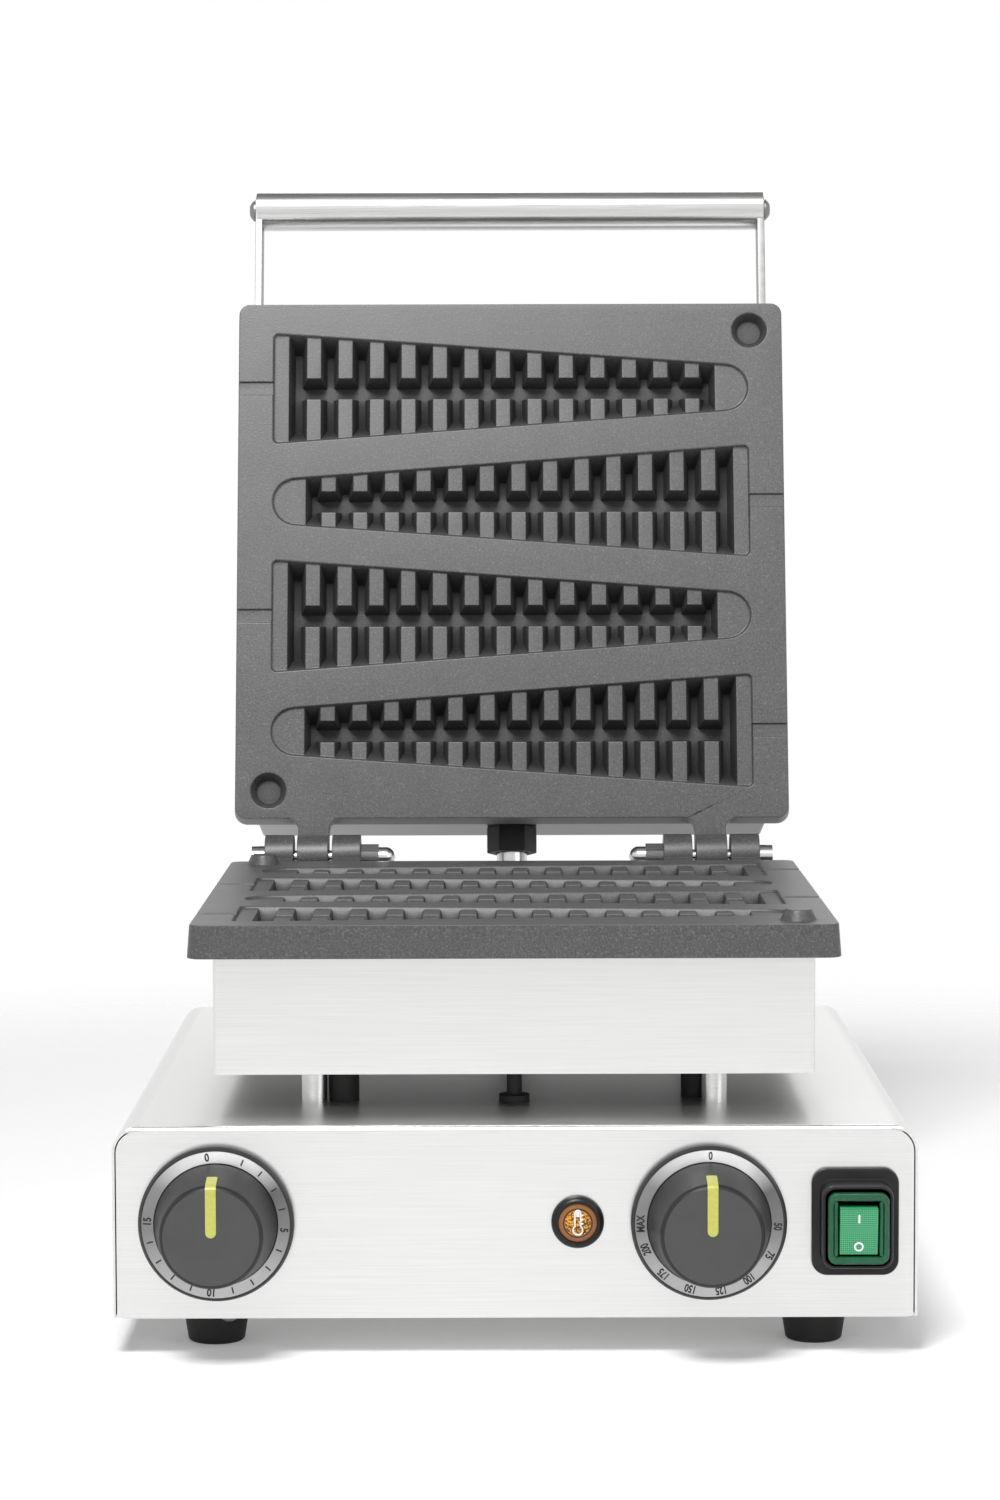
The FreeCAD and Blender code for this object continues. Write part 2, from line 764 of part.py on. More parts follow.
def make_dial(dial, body_width, body_depth):
    x = f"{dial}_x"
    bezel = turned(f"{dial}_bezel_form", [
        ("shaft_hole / 2", "0"),
        ("bezel_diameter / 2", "0"),
        ("bezel_diameter / 2", "bezel_side"),
        ("ring_outer / 2 + fit_gap + bezel_rim_width", "bezel_rim"),
        ("ring_outer / 2 + fit_gap", "bezel_rim"),
        ("ring_outer / 2 + fit_gap", "bezel_seat"),
        ("knob_base / 2 + play", "bezel_seat"),
        ("knob_base / 2 + play", "bezel_floor"),
        ("shaft_hole / 2", "bezel_floor"),
    ])
    ring = turned(f"{dial}_ring_form", [
        ("ring_inner / 2", "bezel_seat"),
        ("ring_outer / 2", "bezel_seat"),
        ("ring_outer / 2", "bezel_seat + ring_thickness"),
        ("ring_inner / 2", "bezel_seat + ring_thickness"),
    ])
    knob = knob_form(f"{dial}_knob_form", "0")
    groove_floor = knob_form(f"{dial}_groove_floor", "(0 - pointer_depth)")
    pointer_top = knob_form(f"{dial}_pointer_top", "pointer_proud")
    skin = cut(f"{dial}_knob_skin", pointer_top, [groove_floor])
    groove = common(f"{dial}_groove", [skin, pointer_bar(f"{dial}_groove_bar", "pointer_width")])
    pointer_copy = cut(f"{dial}_pointer_skin", knob_form(f"{dial}_pointer_outer", "pointer_proud"),
                       [knob_form(f"{dial}_pointer_floor", "(0 - pointer_depth)")])
    pointer = common(f"{dial}_pointer_form",
                     [pointer_copy, pointer_bar(f"{dial}_pointer_bar", "(pointer_width - fit_gap * 2)")])
    socket = cylinder(f"{dial}_socket", "shaft_diameter + fit_gap * 2", "knob_socket", z="knob_back")
    knob_cut = cut(f"{dial}_knob_bored", cut(f"{dial}_knob_grooved", knob, [groove]), [socket])
    shaft = cylinder(f"{dial}_shaft_form", "shaft_diameter",
                     "sheet_metal + shaft_inside + knob_back + knob_socket - play",
                     z="0 - sheet_metal - shaft_inside")
    case = box(f"{dial}_case", f"0 - {body_width} / 2", f"0 - {body_width} / 2",
               f"0 - sheet_metal - {body_depth}", body_width, body_width, body_depth)
    bore = cylinder(f"{dial}_bore", "shaft_diameter + fit_gap * 2", "shaft_inside + play",
                    z="0 - sheet_metal - shaft_inside - play")
    body = cut(f"{dial}_body_form", case, [bore])
    pieces = {"bezel": bezel, "dial": ring, "knob": knob_cut, "pointer": pointer, "shaft": shaft, "body": body}
    for piece, form in pieces.items():
        label = f"{dial}_{piece}"
        node(label, place(group(f"{label}_on_panel", [form]), x, "front_y", CONTROL_Z, "front"))


def make_capillary():
    """The thin tube from the thermostat up through the sensor sleeve, and the bulb under the lower plate."""
    bulb_z = f"({PARTING_Z} - {BLOCK_BASE} - bulb_diameter / 2 - play)"
    start_y = "(front_y + sheet_metal + thermostat_body_depth)"
    route = [
        point("thermostat_x", start_y, CONTROL_Z),
        point("thermostat_x", SENSOR_Y, CONTROL_Z),
        point("0", SENSOR_Y, CONTROL_Z),
        point("0", SENSOR_Y, bulb_z),
        point("bulb_start", SENSOR_Y, bulb_z),
    ]
    capillary = tube("capillary_form", route, measure("capillary_bend"), measure("capillary_diameter"))
    bulb = cylinder("bulb_form", "bulb_diameter", "bulb_length", "bulb_start", SENSOR_Y, bulb_z, "right")
    node("thermostat_capillary", fuse("capillary_with_bulb", [capillary, bulb]))


def make_lamp():
    bezel = turned("lamp_bezel_form", [
        ("lamp_body_diameter / 2 + hole_gap", "0"),
        ("lamp_bezel_diameter / 2", "0"),
        ("lamp_bezel_diameter / 2", "lamp_bezel_side", "lamp_bezel_round"),
        ("lamp_bezel_mouth / 2", "lamp_bezel_reach"),
        ("lamp_lens_diameter / 2 + hole_gap", "lamp_bezel_reach"),
        ("lamp_lens_diameter / 2 + hole_gap", "lamp_seat"),
        ("lamp_body_diameter / 2 + hole_gap", "lamp_seat"),
    ])
    lens = turned("lamp_lens_form", [
        ("0", "lamp_seat"),
        ("lamp_lens_diameter / 2", "lamp_seat"),
        ("lamp_lens_diameter / 2", "lamp_lens_side", "lamp_lens_round"),
        ("lamp_lens_diameter / 12", "lamp_lens_reach"),
        ("0", "lamp_lens_reach"),
    ])
    body = cylinder("lamp_body_form", "lamp_body_diameter", "lamp_body_depth + lamp_seat",
                    z="0 - lamp_body_depth")
    for label, form in (("lamp_bezel", bezel), ("lamp_lens", lens), ("lamp_body", body)):
        node(label, place(group(f"{label}_on_panel", [form]), "lamp_x", "front_y", CONTROL_Z, "front"))


def centred(name, width, height, corner, z, reach):
    """A rounded plate about the switch's middle."""
    return slab(name, f"(0 - {width} / 2)", f"({width} / 2)", f"(0 - {height} / 2)", f"({height} / 2)",
                corner, z, reach)


def make_switch():
    flange = centred("switch_flange_form", "switch_width", "switch_height", "switch_corner",
                     "0", "switch_flange")
    wall = centred("switch_wall_form", "switch_wall_width", "switch_wall_height", "switch_wall_corner",
                   "switch_flange", "switch_wall_reach - switch_flange")
    mouth = centred("switch_mouth", "(boot_width + hole_gap * 2)", "(boot_height + hole_gap * 2)",
                    "(boot_corner + hole_gap)", "0", "switch_wall_reach")
    frame = cut("switch_frame_form", fuse("switch_frame_solid", [flange, wall]), [mouth])
    boot_block = centred("boot_block", "boot_width", "boot_height", "boot_corner", "0", "boot_reach")
    window = centred("boot_window", "boot_window_width", "boot_window_height", "boot_window_corner",
                     "0", "boot_reach")
    boot = cut("switch_boot_form", boot_block, [window])
    case = box("switch_case", "0 - switch_body_width / 2", "0 - switch_body_height / 2",
               "0 - switch_body_depth", "switch_body_width", "switch_body_height", "switch_body_depth")
    ears = []
    holes = []
    inner_face = "(rocker_width / 2 + play)"
    for side, start in (("left", f"(0 - {inner_face} - ear_thickness)"), ("right", inner_face)):
        ears.append(box(f"switch_ear_{side}", start, "0 - ear_width / 2", "0",
                        "ear_thickness", "ear_width", "ear_reach"))
        holes.append(cylinder(f"switch_ear_hole_{side}", "rocker_axle + fit_gap * 2", "ear_thickness",
                              start, "0", "rocker_axle_height", "right"))
    body = cut("switch_body_form", fuse("switch_body_solid", [case] + ears), holes)
    rocker = new_body("rocker_form")
    section = new_sketch(rocker, "rocker_section", "YZ_Plane", "0 - rocker_width / 2")
    rise = "rocker_axle_height"
    draw(section, [
        ("0 - rocker_root_width / 2", f"rocker_root - {rise}"),
        ("rocker_root_width / 2", f"rocker_root - {rise}"),
        ("rocker_height / 2", f"rocker_side - {rise}"),
        ("rocker_height / 2", f"rocker_reach - {rise}"),
        ("0 - rocker_height / 2", f"rocker_reach - {rise}"),
        ("0 - rocker_height / 2", f"rocker_side - {rise}"),
    ])
    extrude(rocker, section, "rocker_width")
    axle_half = f"({inner_face} + ear_thickness)"
    axle = cylinder("rocker_axle_form", "rocker_axle", f"{axle_half} * 2", f"0 - {axle_half}", facing="right")
    tilted = fuse("rocker_solid", [rocker, axle])
    tilted.Placement = FreeCAD.Placement(FreeCAD.Vector(), FreeCAD.Rotation(FreeCAD.Vector(1, 0, 0), 1))
    tilted.setExpression("Placement.Rotation.Angle", tied("rocker_tilt"))
    tilted.setExpression("Placement.Base.z", tied("rocker_axle_height"))
    pieces = {"switch_frame": frame, "switch_boot": boot, "switch_body": body, "switch_rocker": tilted}
    for label, form in pieces.items():
        node(label, place(group(f"{label}_on_panel", [form]), "switch_x", "front_y", CONTROL_Z, "front"))


def make_mains_gland():
    barrel = turned("gland_barrel", [
        ("gland_bore / 2", "0 - gland_inside"),
        ("gland_thread / 2", "0 - gland_inside"),
        ("gland_thread / 2", "gland_hex_height"),
        ("gland_shoulder / 2", "gland_hex_height"),
        ("gland_mouth / 2", "gland_reach"),
        ("gland_bore / 2", "gland_reach"),
    ])
    collar = cut("gland_collar", hexagon("gland_hexagon", "gland_hex", "gland_hex_height"),
                 [cylinder("gland_collar_bore", "gland_bore", "gland_hex_height")])
    gland = fuse("gland_form", [barrel, collar])
    node("mains_gland", place(gland, "gland_x", BACK_Y, f"{HOUSING_Z} + gland_height", "back"))


# Between the base and the lower box
def make_posts():
    bore = "(bolt_diameter + hole_gap * 2)"
    names = ("post_front_left", "post_front_right", "post_rear_left", "post_rear_right")
    bolt = turned("post_bolt_form", [
        ("0", "0 - bolt_head_height"),
        ("bolt_head / 2", "0 - bolt_head_height"),
        ("bolt_head / 2", "0"),
        ("bolt_diameter / 2", "0"),
        ("bolt_diameter / 2", f"{PARTING_Z} - {BLOCK_BASE} + bolt_grip - {TOP_Z} + sheet_metal"),
        ("0", f"{PARTING_Z} - {BLOCK_BASE} + bolt_grip - {TOP_Z} + sheet_metal"),
    ])
    for label, (x, y) in zip(names, post_places()):
        rod = cylinder(f"{label}_rod", "post_diameter", "post_height", x, y, TOP_Z)
        hole = cylinder(f"{label}_bore", bore, "post_height", x, y, TOP_Z)
        node(label, cut(f"{label}_form", rod, [hole]))
    places = [(x, y, f"{TOP_Z} - sheet_metal", "up") for x, y in post_places()]
    node("post_bolts", group("post_bolt_set", copies("post_bolt_copy", bolt, places)))


def make_sleeves():
    for side in SIDES:
        x, y = f"sleeve_{side}_x", f"front_y + sleeve_{side}_y"
        rod = cylinder(f"sleeve_{side}_rod", "sleeve_diameter", "post_height", x, y, TOP_Z)
        hole = cylinder(f"sleeve_{side}_bore", "sleeve_bore", "post_height", x, y, TOP_Z)
        node(f"wire_sleeve_{side}", cut(f"sleeve_{side}_form", rod, [hole]))
    low = f"({TOP_Z} - sheet_metal - grommet_height)"
    length = f"{BOX_Z} + sheet_metal + grommet_height - {low}"
    rod = cylinder("sensor_rod", "sensor_sleeve", length, "0", SENSOR_Y, low)
    hole = cylinder("sensor_bore", "capillary_diameter + play * 2", length, "0", SENSOR_Y, low)
    node("sensor_sleeve", cut("sensor_sleeve_form", rod, [hole]))
    collar = cylinder("grommet_collar", "grommet_diameter", "grommet_height", "0", SENSOR_Y, TOP_Z)
    hole = cylinder("grommet_bore", "sensor_sleeve + fit_gap * 2", "grommet_height", "0", SENSOR_Y, TOP_Z)
    node("sensor_grommet", cut("sensor_grommet_form", collar, [hole]))


# Plates: made about the hinge axis, with the cooking face on z = 0 and the lid closed
def pocket_half(run, drop):
    """Half the pocket's width at a distance from its wide end and a depth below the face."""
    return f"(pocket_wide / 2 - {run} * tan({SIDE_ANGLE}) - {drop} * tan(wall_draft) / cos({SIDE_ANGLE}))"


def make_pocket_core():
    """The space of one pocket, wide end to the left, with its teeth left out and its stick slot."""
    core = new_body("pocket_core")
    wide = "(0 - pocket_length / 2)"
    end = "(pocket_narrow / 2)"
    centre = f"({PIVOT_RUN} - pocket_length / 2)"
    touch_x = f"({centre} + {end} * sin({SIDE_ANGLE}))"
    touch_y = f"({end} * cos({SIDE_ANGLE}))"
    corner_rise = f"({pocket_half('pocket_corner', '0')})"
    outline = new_sketch(core, "pocket_outline")
    draw(outline, [
        (f"{wide} + pocket_corner", f"0 - {corner_rise}"),
        (touch_x, f"0 - {touch_y}", f"{end}"),
        (f"{centre} + {end}", "0", f"{end}"),
        (touch_x, touch_y),
        (f"{wide} + pocket_corner", corner_rise, "pocket_corner"),
        (wide, f"{corner_rise} - pocket_corner"),
        (wide, f"pocket_corner - {corner_rise}", "pocket_corner"),
    ])
    extrude(core, outline, "ledge_depth", "0 - wall_draft", reverse=True)
    sections = []
    for level, drop in (("ledge", "ledge_depth"), ("floor", "pocket_depth")):
        slope = f"(({drop} - ledge_depth) * tan(tooth_draft))"
        start = f"(wide_ledge + {slope})"
        finish = f"(pocket_length - narrow_ledge - {slope})"
        section = new_sketch(core, f"pocket_{level}", height=f"0 - {drop}")
        draw(section, [
            (f"{wide} + {start}", f"0 - {pocket_half(start, drop)}"),
            (f"{wide} + {finish}", f"0 - {pocket_half(finish, drop)}"),
            (f"{wide} + {finish}", pocket_half(finish, drop)),
            (f"{wide} + {start}", pocket_half(start, drop)),
        ])
        sections.append(section)
    loft = core.newObject("PartDesign::AdditiveLoft", "pocket_deep")
    loft.Profile = sections[0]
    loft.Sections = [sections[1]]
    loft.Ruled = True
    slot = new_sketch(core, "stick_outline")
    draw(slot, [
        ("0 - plate_width / 2 - plate_edge", "0 - stick_width / 2"),
        (f"{wide} + wide_ledge / 2", "0 - stick_width / 2"),
        (f"{wide} + wide_ledge / 2", "stick_width / 2"),
        ("0 - plate_width / 2 - plate_edge", "stick_width / 2"),
    ])
    extrude(core, slot, "stick_depth", "0 - tooth_draft", reverse=True)
    rise = "(pocket_depth - ledge_depth)"
    flare = f"({rise} * tan(tooth_draft))"
    half = f"(tooth_width / 2 + {flare})"
    middle = f"({wide} + first_tooth)"
    teeth = new_sketch(core, "tooth_outline", height="0 - pocket_depth")
    for sign in SIDES.values():
        near, far = f"{sign} * (spine_width / 2 - {flare})", f"{sign} * tooth_reach"
        rows = (near, far) if sign == "1" else (far, near)
        draw(teeth, [
            (f"{middle} - {half}", rows[0]),
            (f"{middle} + {half}", rows[0]),
            (f"{middle} + {half}", rows[1]),
            (f"{middle} - {half}", rows[1]),
        ])
    full = core.Shape.Volume
    tooth = extrude(core, teeth, rise, "0 - tooth_draft", reverse=True, kind="PartDesign::Pocket")
    if not core.Shape.Volume < full:
        raise RuntimeError("the teeth cut nothing")
    row = core.newObject("PartDesign::LinearPattern", "tooth_row")
    row.Originals = [tooth]
    row.Direction = (teeth, ["H_Axis"])
    row.setExpression("Length", tied("tooth_pitch * (tooth_count - 1)"))
    row.setExpression("Occurrences", tied("tooth_count"))
    core.Tip = row
    doc.recompute()
    return core


def pocket_places(z, facings):
    """Four places from the front to the hinge, with the wide ends left and right by turns."""
    places = []
    for index in range(4):
        y = f"{PLATE_MIDDLE} - (1.5 - {index}) * pocket_pitch"
        places.append(("0", y, z, facings[index % 2]))
    return places


def guide_places():
    return [("guide_x", f"{PLATE_FRONT} + guide_inset"), ("0 - guide_x", "0 - hinge_offset - guide_inset")]


def plate_blank(name, face, upward):
    """A plate's edge slab with its drafted sides, and the thicker block behind it."""
    body = new_body(name)
    rim = new_sketch(body, f"{name}_rim", height=face)
    draw_rounded(rim, "(0 - plate_width / 2)", "(plate_width / 2)", PLATE_FRONT, "(0 - hinge_offset)",
                 "plate_corner")
    extrude(body, rim, "plate_edge", "plate_draft", reverse=not upward)
    back = f"{face} + plate_edge" if upward else f"{face} - plate_edge"
    block = new_sketch(body, f"{name}_block", height=back)
    inset = "(sheet_metal + block_clearance)"
    draw_rounded(block, f"({inset} - box_width / 2)", f"(box_width / 2 - {inset})", f"({BOX_FRONT} + {inset})",
                 f"({BOX_REAR} - {inset})", "plate_corner")
    extrude(body, block, "block_thickness", reverse=not upward)
    return body


def hinge_ear(name, sign, start, end, low, root="0"):
    """A barrel on the hinge axis, with the arm that joins it to the plate. A root flares into the plate."""
    length = f"({end} - {start})"
    left = f"{start}" if sign == "1" else f"0 - {end}"
    barrel = cylinder(f"{name}_barrel", "hinge_barrel", length, left, facing="right")
    body = new_body(f"{name}_arm")
    sketch = new_sketch(body, f"{name}_arm_outline", height=low)
    right = f"({left} + {length})"
    edge = "(0 - hinge_offset)"
    buried = f"({edge} - plate_corner)"
    if root == "0":
        draw(sketch, [(left, buried), (right, buried), (right, "0"), (left, "0")])
    else:
        draw(sketch, [
            (f"{left} - {root}", buried),
            (f"{right} + {root}", buried),
            (f"{right} + {root}", edge, f"0 - {root}"),
            (right, f"{edge} + {root}"),
            (right, "0"),
            (left, "0"),
            (left, f"{edge} + {root}", f"0 - {root}"),
            (f"{left} - {root}", edge),
        ])
    extrude(body, sketch, "hinge_barrel / 2")
    return [barrel, body]


def bolt_holes(name, base, facing):
    """Threaded holes in a plate's block, at the places of the posts."""
    holes = []
    for index, (x, y) in enumerate(post_places()):
        holes.append(cylinder(f"{name}_{index}", "bolt_diameter + fit_gap * 2", "bolt_grip + play",
                              x, f"{y} - {HINGE_Y}", base, facing))
    return holes


def clamp_places():
    middle = f"(0 - hinge_offset - clamp_start - clamp_depth / 2)"
    return [("0", f"{middle} - clamp_bolt_spacing / 2"), ("0", f"{middle} + clamp_bolt_spacing / 2")]


def clamp_holes(name, base, facing):
    holes = []
    for index, (x, y) in enumerate(clamp_places()):
        holes.append(cylinder(f"{name}_{index}", "bolt_diameter + fit_gap * 2", "bolt_grip + play",
                              x, y, base, facing))
    return holes


def make_plates(core):
    pin_bore = cylinder("lower_pin_bore", "hinge_pin + fit_gap * 2", "outer_lug_end * 2", "0 - outer_lug_end",
                        facing="right")
    lugs = []
    knuckles = []
    for side, sign in SIDES.items():
        lugs += hinge_ear(f"inner_lug_{side}", sign, "inner_lug_start", "inner_lug_end", "0 - hinge_barrel / 2")
        lugs += hinge_ear(f"outer_lug_{side}", sign, "outer_lug_start", "outer_lug_end", "0 - hinge_barrel / 2")
        knuckles += hinge_ear(f"knuckle_{side}", sign, "knuckle_start", "knuckle_end", "parting_gap",
                              "knuckle_root")
    bumps = [cone(f"guide_bump_{index}", "guide_base", "guide_top", "guide_height", x, y, "0")
             for index, (x, y) in enumerate(guide_places())]
    lower = fuse("lower_plate_solid", [plate_blank("lower_blank", "0", False)] + lugs + bumps)
    pockets = copies("lower_pocket", core, pocket_places("0", ("up", "half_turn")))
    base = f"0 - {BLOCK_BASE}"
    holes = bolt_holes("lower_bolt_hole", base, "up") + clamp_holes("lower_clamp_hole", base, "up")
    finished = cut("lower_plate_form", lower, pockets + holes + [pin_bore])
    node("lower_plate", place(finished, "0", HINGE_Y, PARTING_Z))
    recesses = [cone(f"guide_recess_{index}", "guide_mouth", "guide_floor", "guide_recess", x, y, "parting_gap")
                for index, (x, y) in enumerate(guide_places())]
    upper = fuse("upper_plate_solid", [plate_blank("upper_blank", "parting_gap", True)] + knuckles)
    pockets = copies("upper_pocket", core, pocket_places("parting_gap", ("down", "down_half_turn")))
    pin_bore = cylinder("upper_pin_bore", "hinge_pin + fit_gap * 2", "outer_lug_end * 2", "0 - outer_lug_end",
                        facing="right")
    holes = bolt_holes("upper_bolt_hole", LID_BLOCK, "down")
    holes += clamp_holes("upper_clamp_hole", LID_BLOCK, "down")
    finished = cut("upper_plate_form", upper, pockets + holes + recesses + [pin_bore])
    node("upper_plate", finished, on_lid=True)


def sheet_box(name, closed_z, height, upward):
    """A folded sheet box, closed at closed_z and open towards its plate."""
    shells = []
    for shell, inset in (("outside", "0"), ("inside", "sheet_metal")):
        body = new_body(f"{name}_{shell}")
        start = f"{closed_z} + {inset}" if upward else f"{closed_z} - {inset}"
        sketch = new_sketch(body, f"{name}_{shell}_outline", height=start)
        draw_rounded(sketch, f"({inset} - box_width / 2)", f"(box_width / 2 - {inset})",
                     f"({BOX_FRONT} + {inset})", f"({BOX_REAR} - {inset})", f"(box_corner - {inset} / 2)")
        extrude(body, sketch, f"{height} - {inset}", reverse=not upward)
        shells.append(body)
    return cut(f"{name}_shell", shells[0], [shells[1]])


def make_lower_box():
    floor = f"(0 - plate_edge - lower_box_height)"
    shell = sheet_box("lower_box", floor, "lower_box_height", True)
    holes = [cylinder("box_sensor_hole", "sensor_sleeve + hole_gap * 2", "sheet_metal", "0",
                      f"{SENSOR_Y} - {HINGE_Y}", floor)]
    for side in SIDES:
        holes.append(cylinder(f"box_sleeve_hole_{side}", "sleeve_bore", "sheet_metal", f"sleeve_{side}_x",
                              f"front_y + sleeve_{side}_y - {HINGE_Y}", floor))
    for index, (x, y) in enumerate(post_places()):
        holes.append(cylinder(f"box_post_hole_{index}", "bolt_diameter + hole_gap * 2", "sheet_metal",
                              x, f"{y} - {HINGE_Y}", floor))
    node("lower_box", place(cut("lower_box_form", shell, holes), "0", HINGE_Y, PARTING_Z))


def heater_tube(name, z):
    """A hairpin heater whose bend lies towards the front."""
    first = "(0 - hinge_offset - heater_start)"
    last = f"({first} - heater_run)"
    route = [
        point("heater_spread", first, z),
        point("heater_spread", f"{last} - heater_spread", z),
        point("0 - heater_spread", f"{last} - heater_spread", z),
        point("0 - heater_spread", first, z),
    ]
    return tube(name, route, measure("heater_bend"), measure("heater_diameter"))


def clamp_plate(name, z):
    plate = box(f"{name}_plate", "0 - clamp_width / 2", "0 - hinge_offset - clamp_start - clamp_depth", z,
                "clamp_width", "clamp_depth", "clamp_thickness")
    holes = [cylinder(f"{name}_hole_{index}", "bolt_diameter + hole_gap * 2", "clamp_thickness", x, y, z)
             for index, (x, y) in enumerate(clamp_places())]
    return cut(name, plate, holes)


def make_heaters():
    """Each heater lies on the back of its plate's block, held there by a clamp plate and two bolts."""
    reach = "(heater_diameter + fit_gap * 2)"
    bolt = turned("clamp_bolt_form", [
        ("0", "0 - bolt_head_height"),
        ("bolt_head / 2", "0 - bolt_head_height"),
        ("bolt_head / 2", "0"),
        ("bolt_diameter / 2", "0"),
        ("bolt_diameter / 2", f"clamp_thickness + {reach} + bolt_grip"),
        ("0", f"clamp_thickness + {reach} + bolt_grip"),
    ])
    lower_z = f"(0 - {BLOCK_BASE} - {reach} / 2)"
    lower_clamp_z = f"(0 - {BLOCK_BASE} - {reach} - clamp_thickness)"
    upper_z = f"({LID_BLOCK} + {reach} / 2)"
    upper_clamp_z = f"({LID_BLOCK} + {reach})"
    node("lower_heater", place(heater_tube("lower_heater_form", lower_z), "0", HINGE_Y, PARTING_Z))
    node("lower_clamp", place(clamp_plate("lower_clamp_form", lower_clamp_z), "0", HINGE_Y, PARTING_Z))
    places = [(x, y, lower_clamp_z, "up") for x, y in clamp_places()]
    bolts = group("lower_clamp_bolt_set", copies("lower_clamp_bolt", bolt, places))
    node("lower_clamp_bolts", place(bolts, "0", HINGE_Y, PARTING_Z))
    node("upper_heater", heater_tube("upper_heater_form", upper_z), on_lid=True)
    node("upper_clamp", clamp_plate("upper_clamp_form", upper_clamp_z), on_lid=True)
    places = [(x, y, f"{upper_clamp_z} + clamp_thickness", "down") for x, y in clamp_places()]
    node("upper_clamp_bolts", group("upper_clamp_bolt_set", copies("upper_clamp_bolt", bolt, places)),
         on_lid=True)


# Lid
def make_lid_box():
    shell = sheet_box("lid_box", LID_TOP, "lid_box_height", False)
    holes = [cylinder("conduit_hole", "hose_diameter", "sheet_metal", "0", f"{BOX_REAR} - sheet_metal",
                      f"{LID_BASE} + conduit_height", "back")]
    for index, (x, y) in enumerate(post_places()):
        holes.append(cylinder(f"lid_screw_hole_{index}", "bolt_diameter + hole_gap * 2", "sheet_metal",
                              x, f"{y} - {HINGE_Y}", f"{LID_TOP} - sheet_metal"))
    for index, (side, y) in enumerate(arm_screw_places()):
        start = "0 - box_width / 2" if side == "left" else "box_width / 2 - sheet_metal"
        holes.append(cylinder(f"lid_arm_hole_{index}", "arm_screw + fit_gap * 2", "sheet_metal", start, y,
                              "handle_height", "right"))
    node("lid_box", cut("lid_box_form", shell, holes), on_lid=True)
    screw = pan_screw("lid_screw_form", "bolt_head", "handle_screw_head_height", "bolt_diameter",
                      f"({LID_TOP} - {LID_BLOCK} + bolt_grip)")
    places = [(x, f"{y} - {HINGE_Y}", LID_TOP, "down") for x, y in post_places()]
    node("lid_screws", group("lid_screw_set", copies("lid_screw_copy", screw, places)), on_lid=True)


def arm_screw_places():
    first = f"({BOX_FRONT} + arm_screw_first)"
    return [(side, y) for side in SIDES for y in (first, f"({first} + arm_screw_spacing)")]


def handle_arm(side):
    """A flat bar along the lid box's side, rounded at its tip in the handle's end slot."""
    start = "(0 - box_width / 2 - arm_thickness)" if side == "left" else "(box_width / 2)"
    run = box(f"arm_run_{side}", start, HANDLE_Y, "handle_height - arm_width / 2", "arm_thickness",
              f"{BOX_FRONT} + arm_overlap - {HANDLE_Y}", "arm_width")
    tip = cylinder(f"arm_tip_{side}", "arm_width", "arm_thickness", start, HANDLE_Y, "handle_height", "right")
    holes = [cylinder(f"arm_handle_hole_{side}", "handle_screw + hole_gap * 2", "arm_thickness", start,
                      HANDLE_Y, "handle_height", "right")]
    for index, (screw_side, y) in enumerate(arm_screw_places()):
        if screw_side == side:
            holes.append(cylinder(f"arm_hole_{side}_{index}", "arm_screw + hole_gap * 2", "arm_thickness",
                                  start, y, "handle_height", "right"))
    return cut(f"handle_arm_{side}_form", fuse(f"arm_solid_{side}", [run, tip]), holes)


def make_handle():
    bar = cylinder("handle_rod", "handle_diameter", "handle_length", "0 - handle_length / 2", HANDLE_Y,
                   "handle_height", "right")
    slots = []
    slot_width = "(arm_width + hole_gap * 2)"
    slot_depth = "(handle_length / 2 - box_width / 2 + fit_gap)"
    for side in SIDES:
        node(f"handle_arm_{side}", handle_arm(side), on_lid=True)
        start = "0 - handle_length / 2" if side == "left" else f"handle_length / 2 - {slot_depth}"
        run = box(f"handle_slot_run_{side}", start, HANDLE_Y, f"handle_height - {slot_width} / 2", slot_depth,
                  "handle_diameter", slot_width)
        end = cylinder(f"handle_slot_end_{side}", slot_width, slot_depth, start, HANDLE_Y, "handle_height",
                       "right")
        slots.append(fuse(f"handle_slot_{side}", [run, end]))
    slotted = cut("handle_slotted", bar, slots)
    threads = []
    for side, sign in SIDES.items():
        threads.append(cylinder(f"handle_thread_{side}", "handle_screw + fit_gap * 2", "handle_screw_length",
                                f"{sign} * box_width / 2", HANDLE_Y, "handle_height",
                                "left" if side == "right" else "right"))
    node("handle_bar", cut("handle_bar_form", slotted, threads), on_lid=True)
    screw = pan_screw("handle_screw_form", "handle_screw_head", "handle_screw_head_height", "handle_screw",
                      "(arm_thickness + handle_screw_length - play)")
    outer = "(box_width / 2 + arm_thickness)"
    places = [(f"0 - {outer}", HANDLE_Y, "handle_height", "right"), (outer, HANDLE_Y, "handle_height", "left")]
    node("handle_screws", group("handle_screw_set", copies("handle_screw_copy", screw, places)), on_lid=True)
    screw = pan_screw("arm_screw_form", "arm_screw_head", "arm_screw_head_height", "arm_screw",
                      "(arm_thickness + sheet_metal + arm_screw_tail)")
    places = []
    for side, y in arm_screw_places():
        x = f"0 - {outer}" if side == "left" else outer
        places.append((x, y, "handle_height", "right" if side == "left" else "left"))
    node("arm_screws", group("arm_screw_set", copies("arm_screw_copy", screw, places)), on_lid=True)


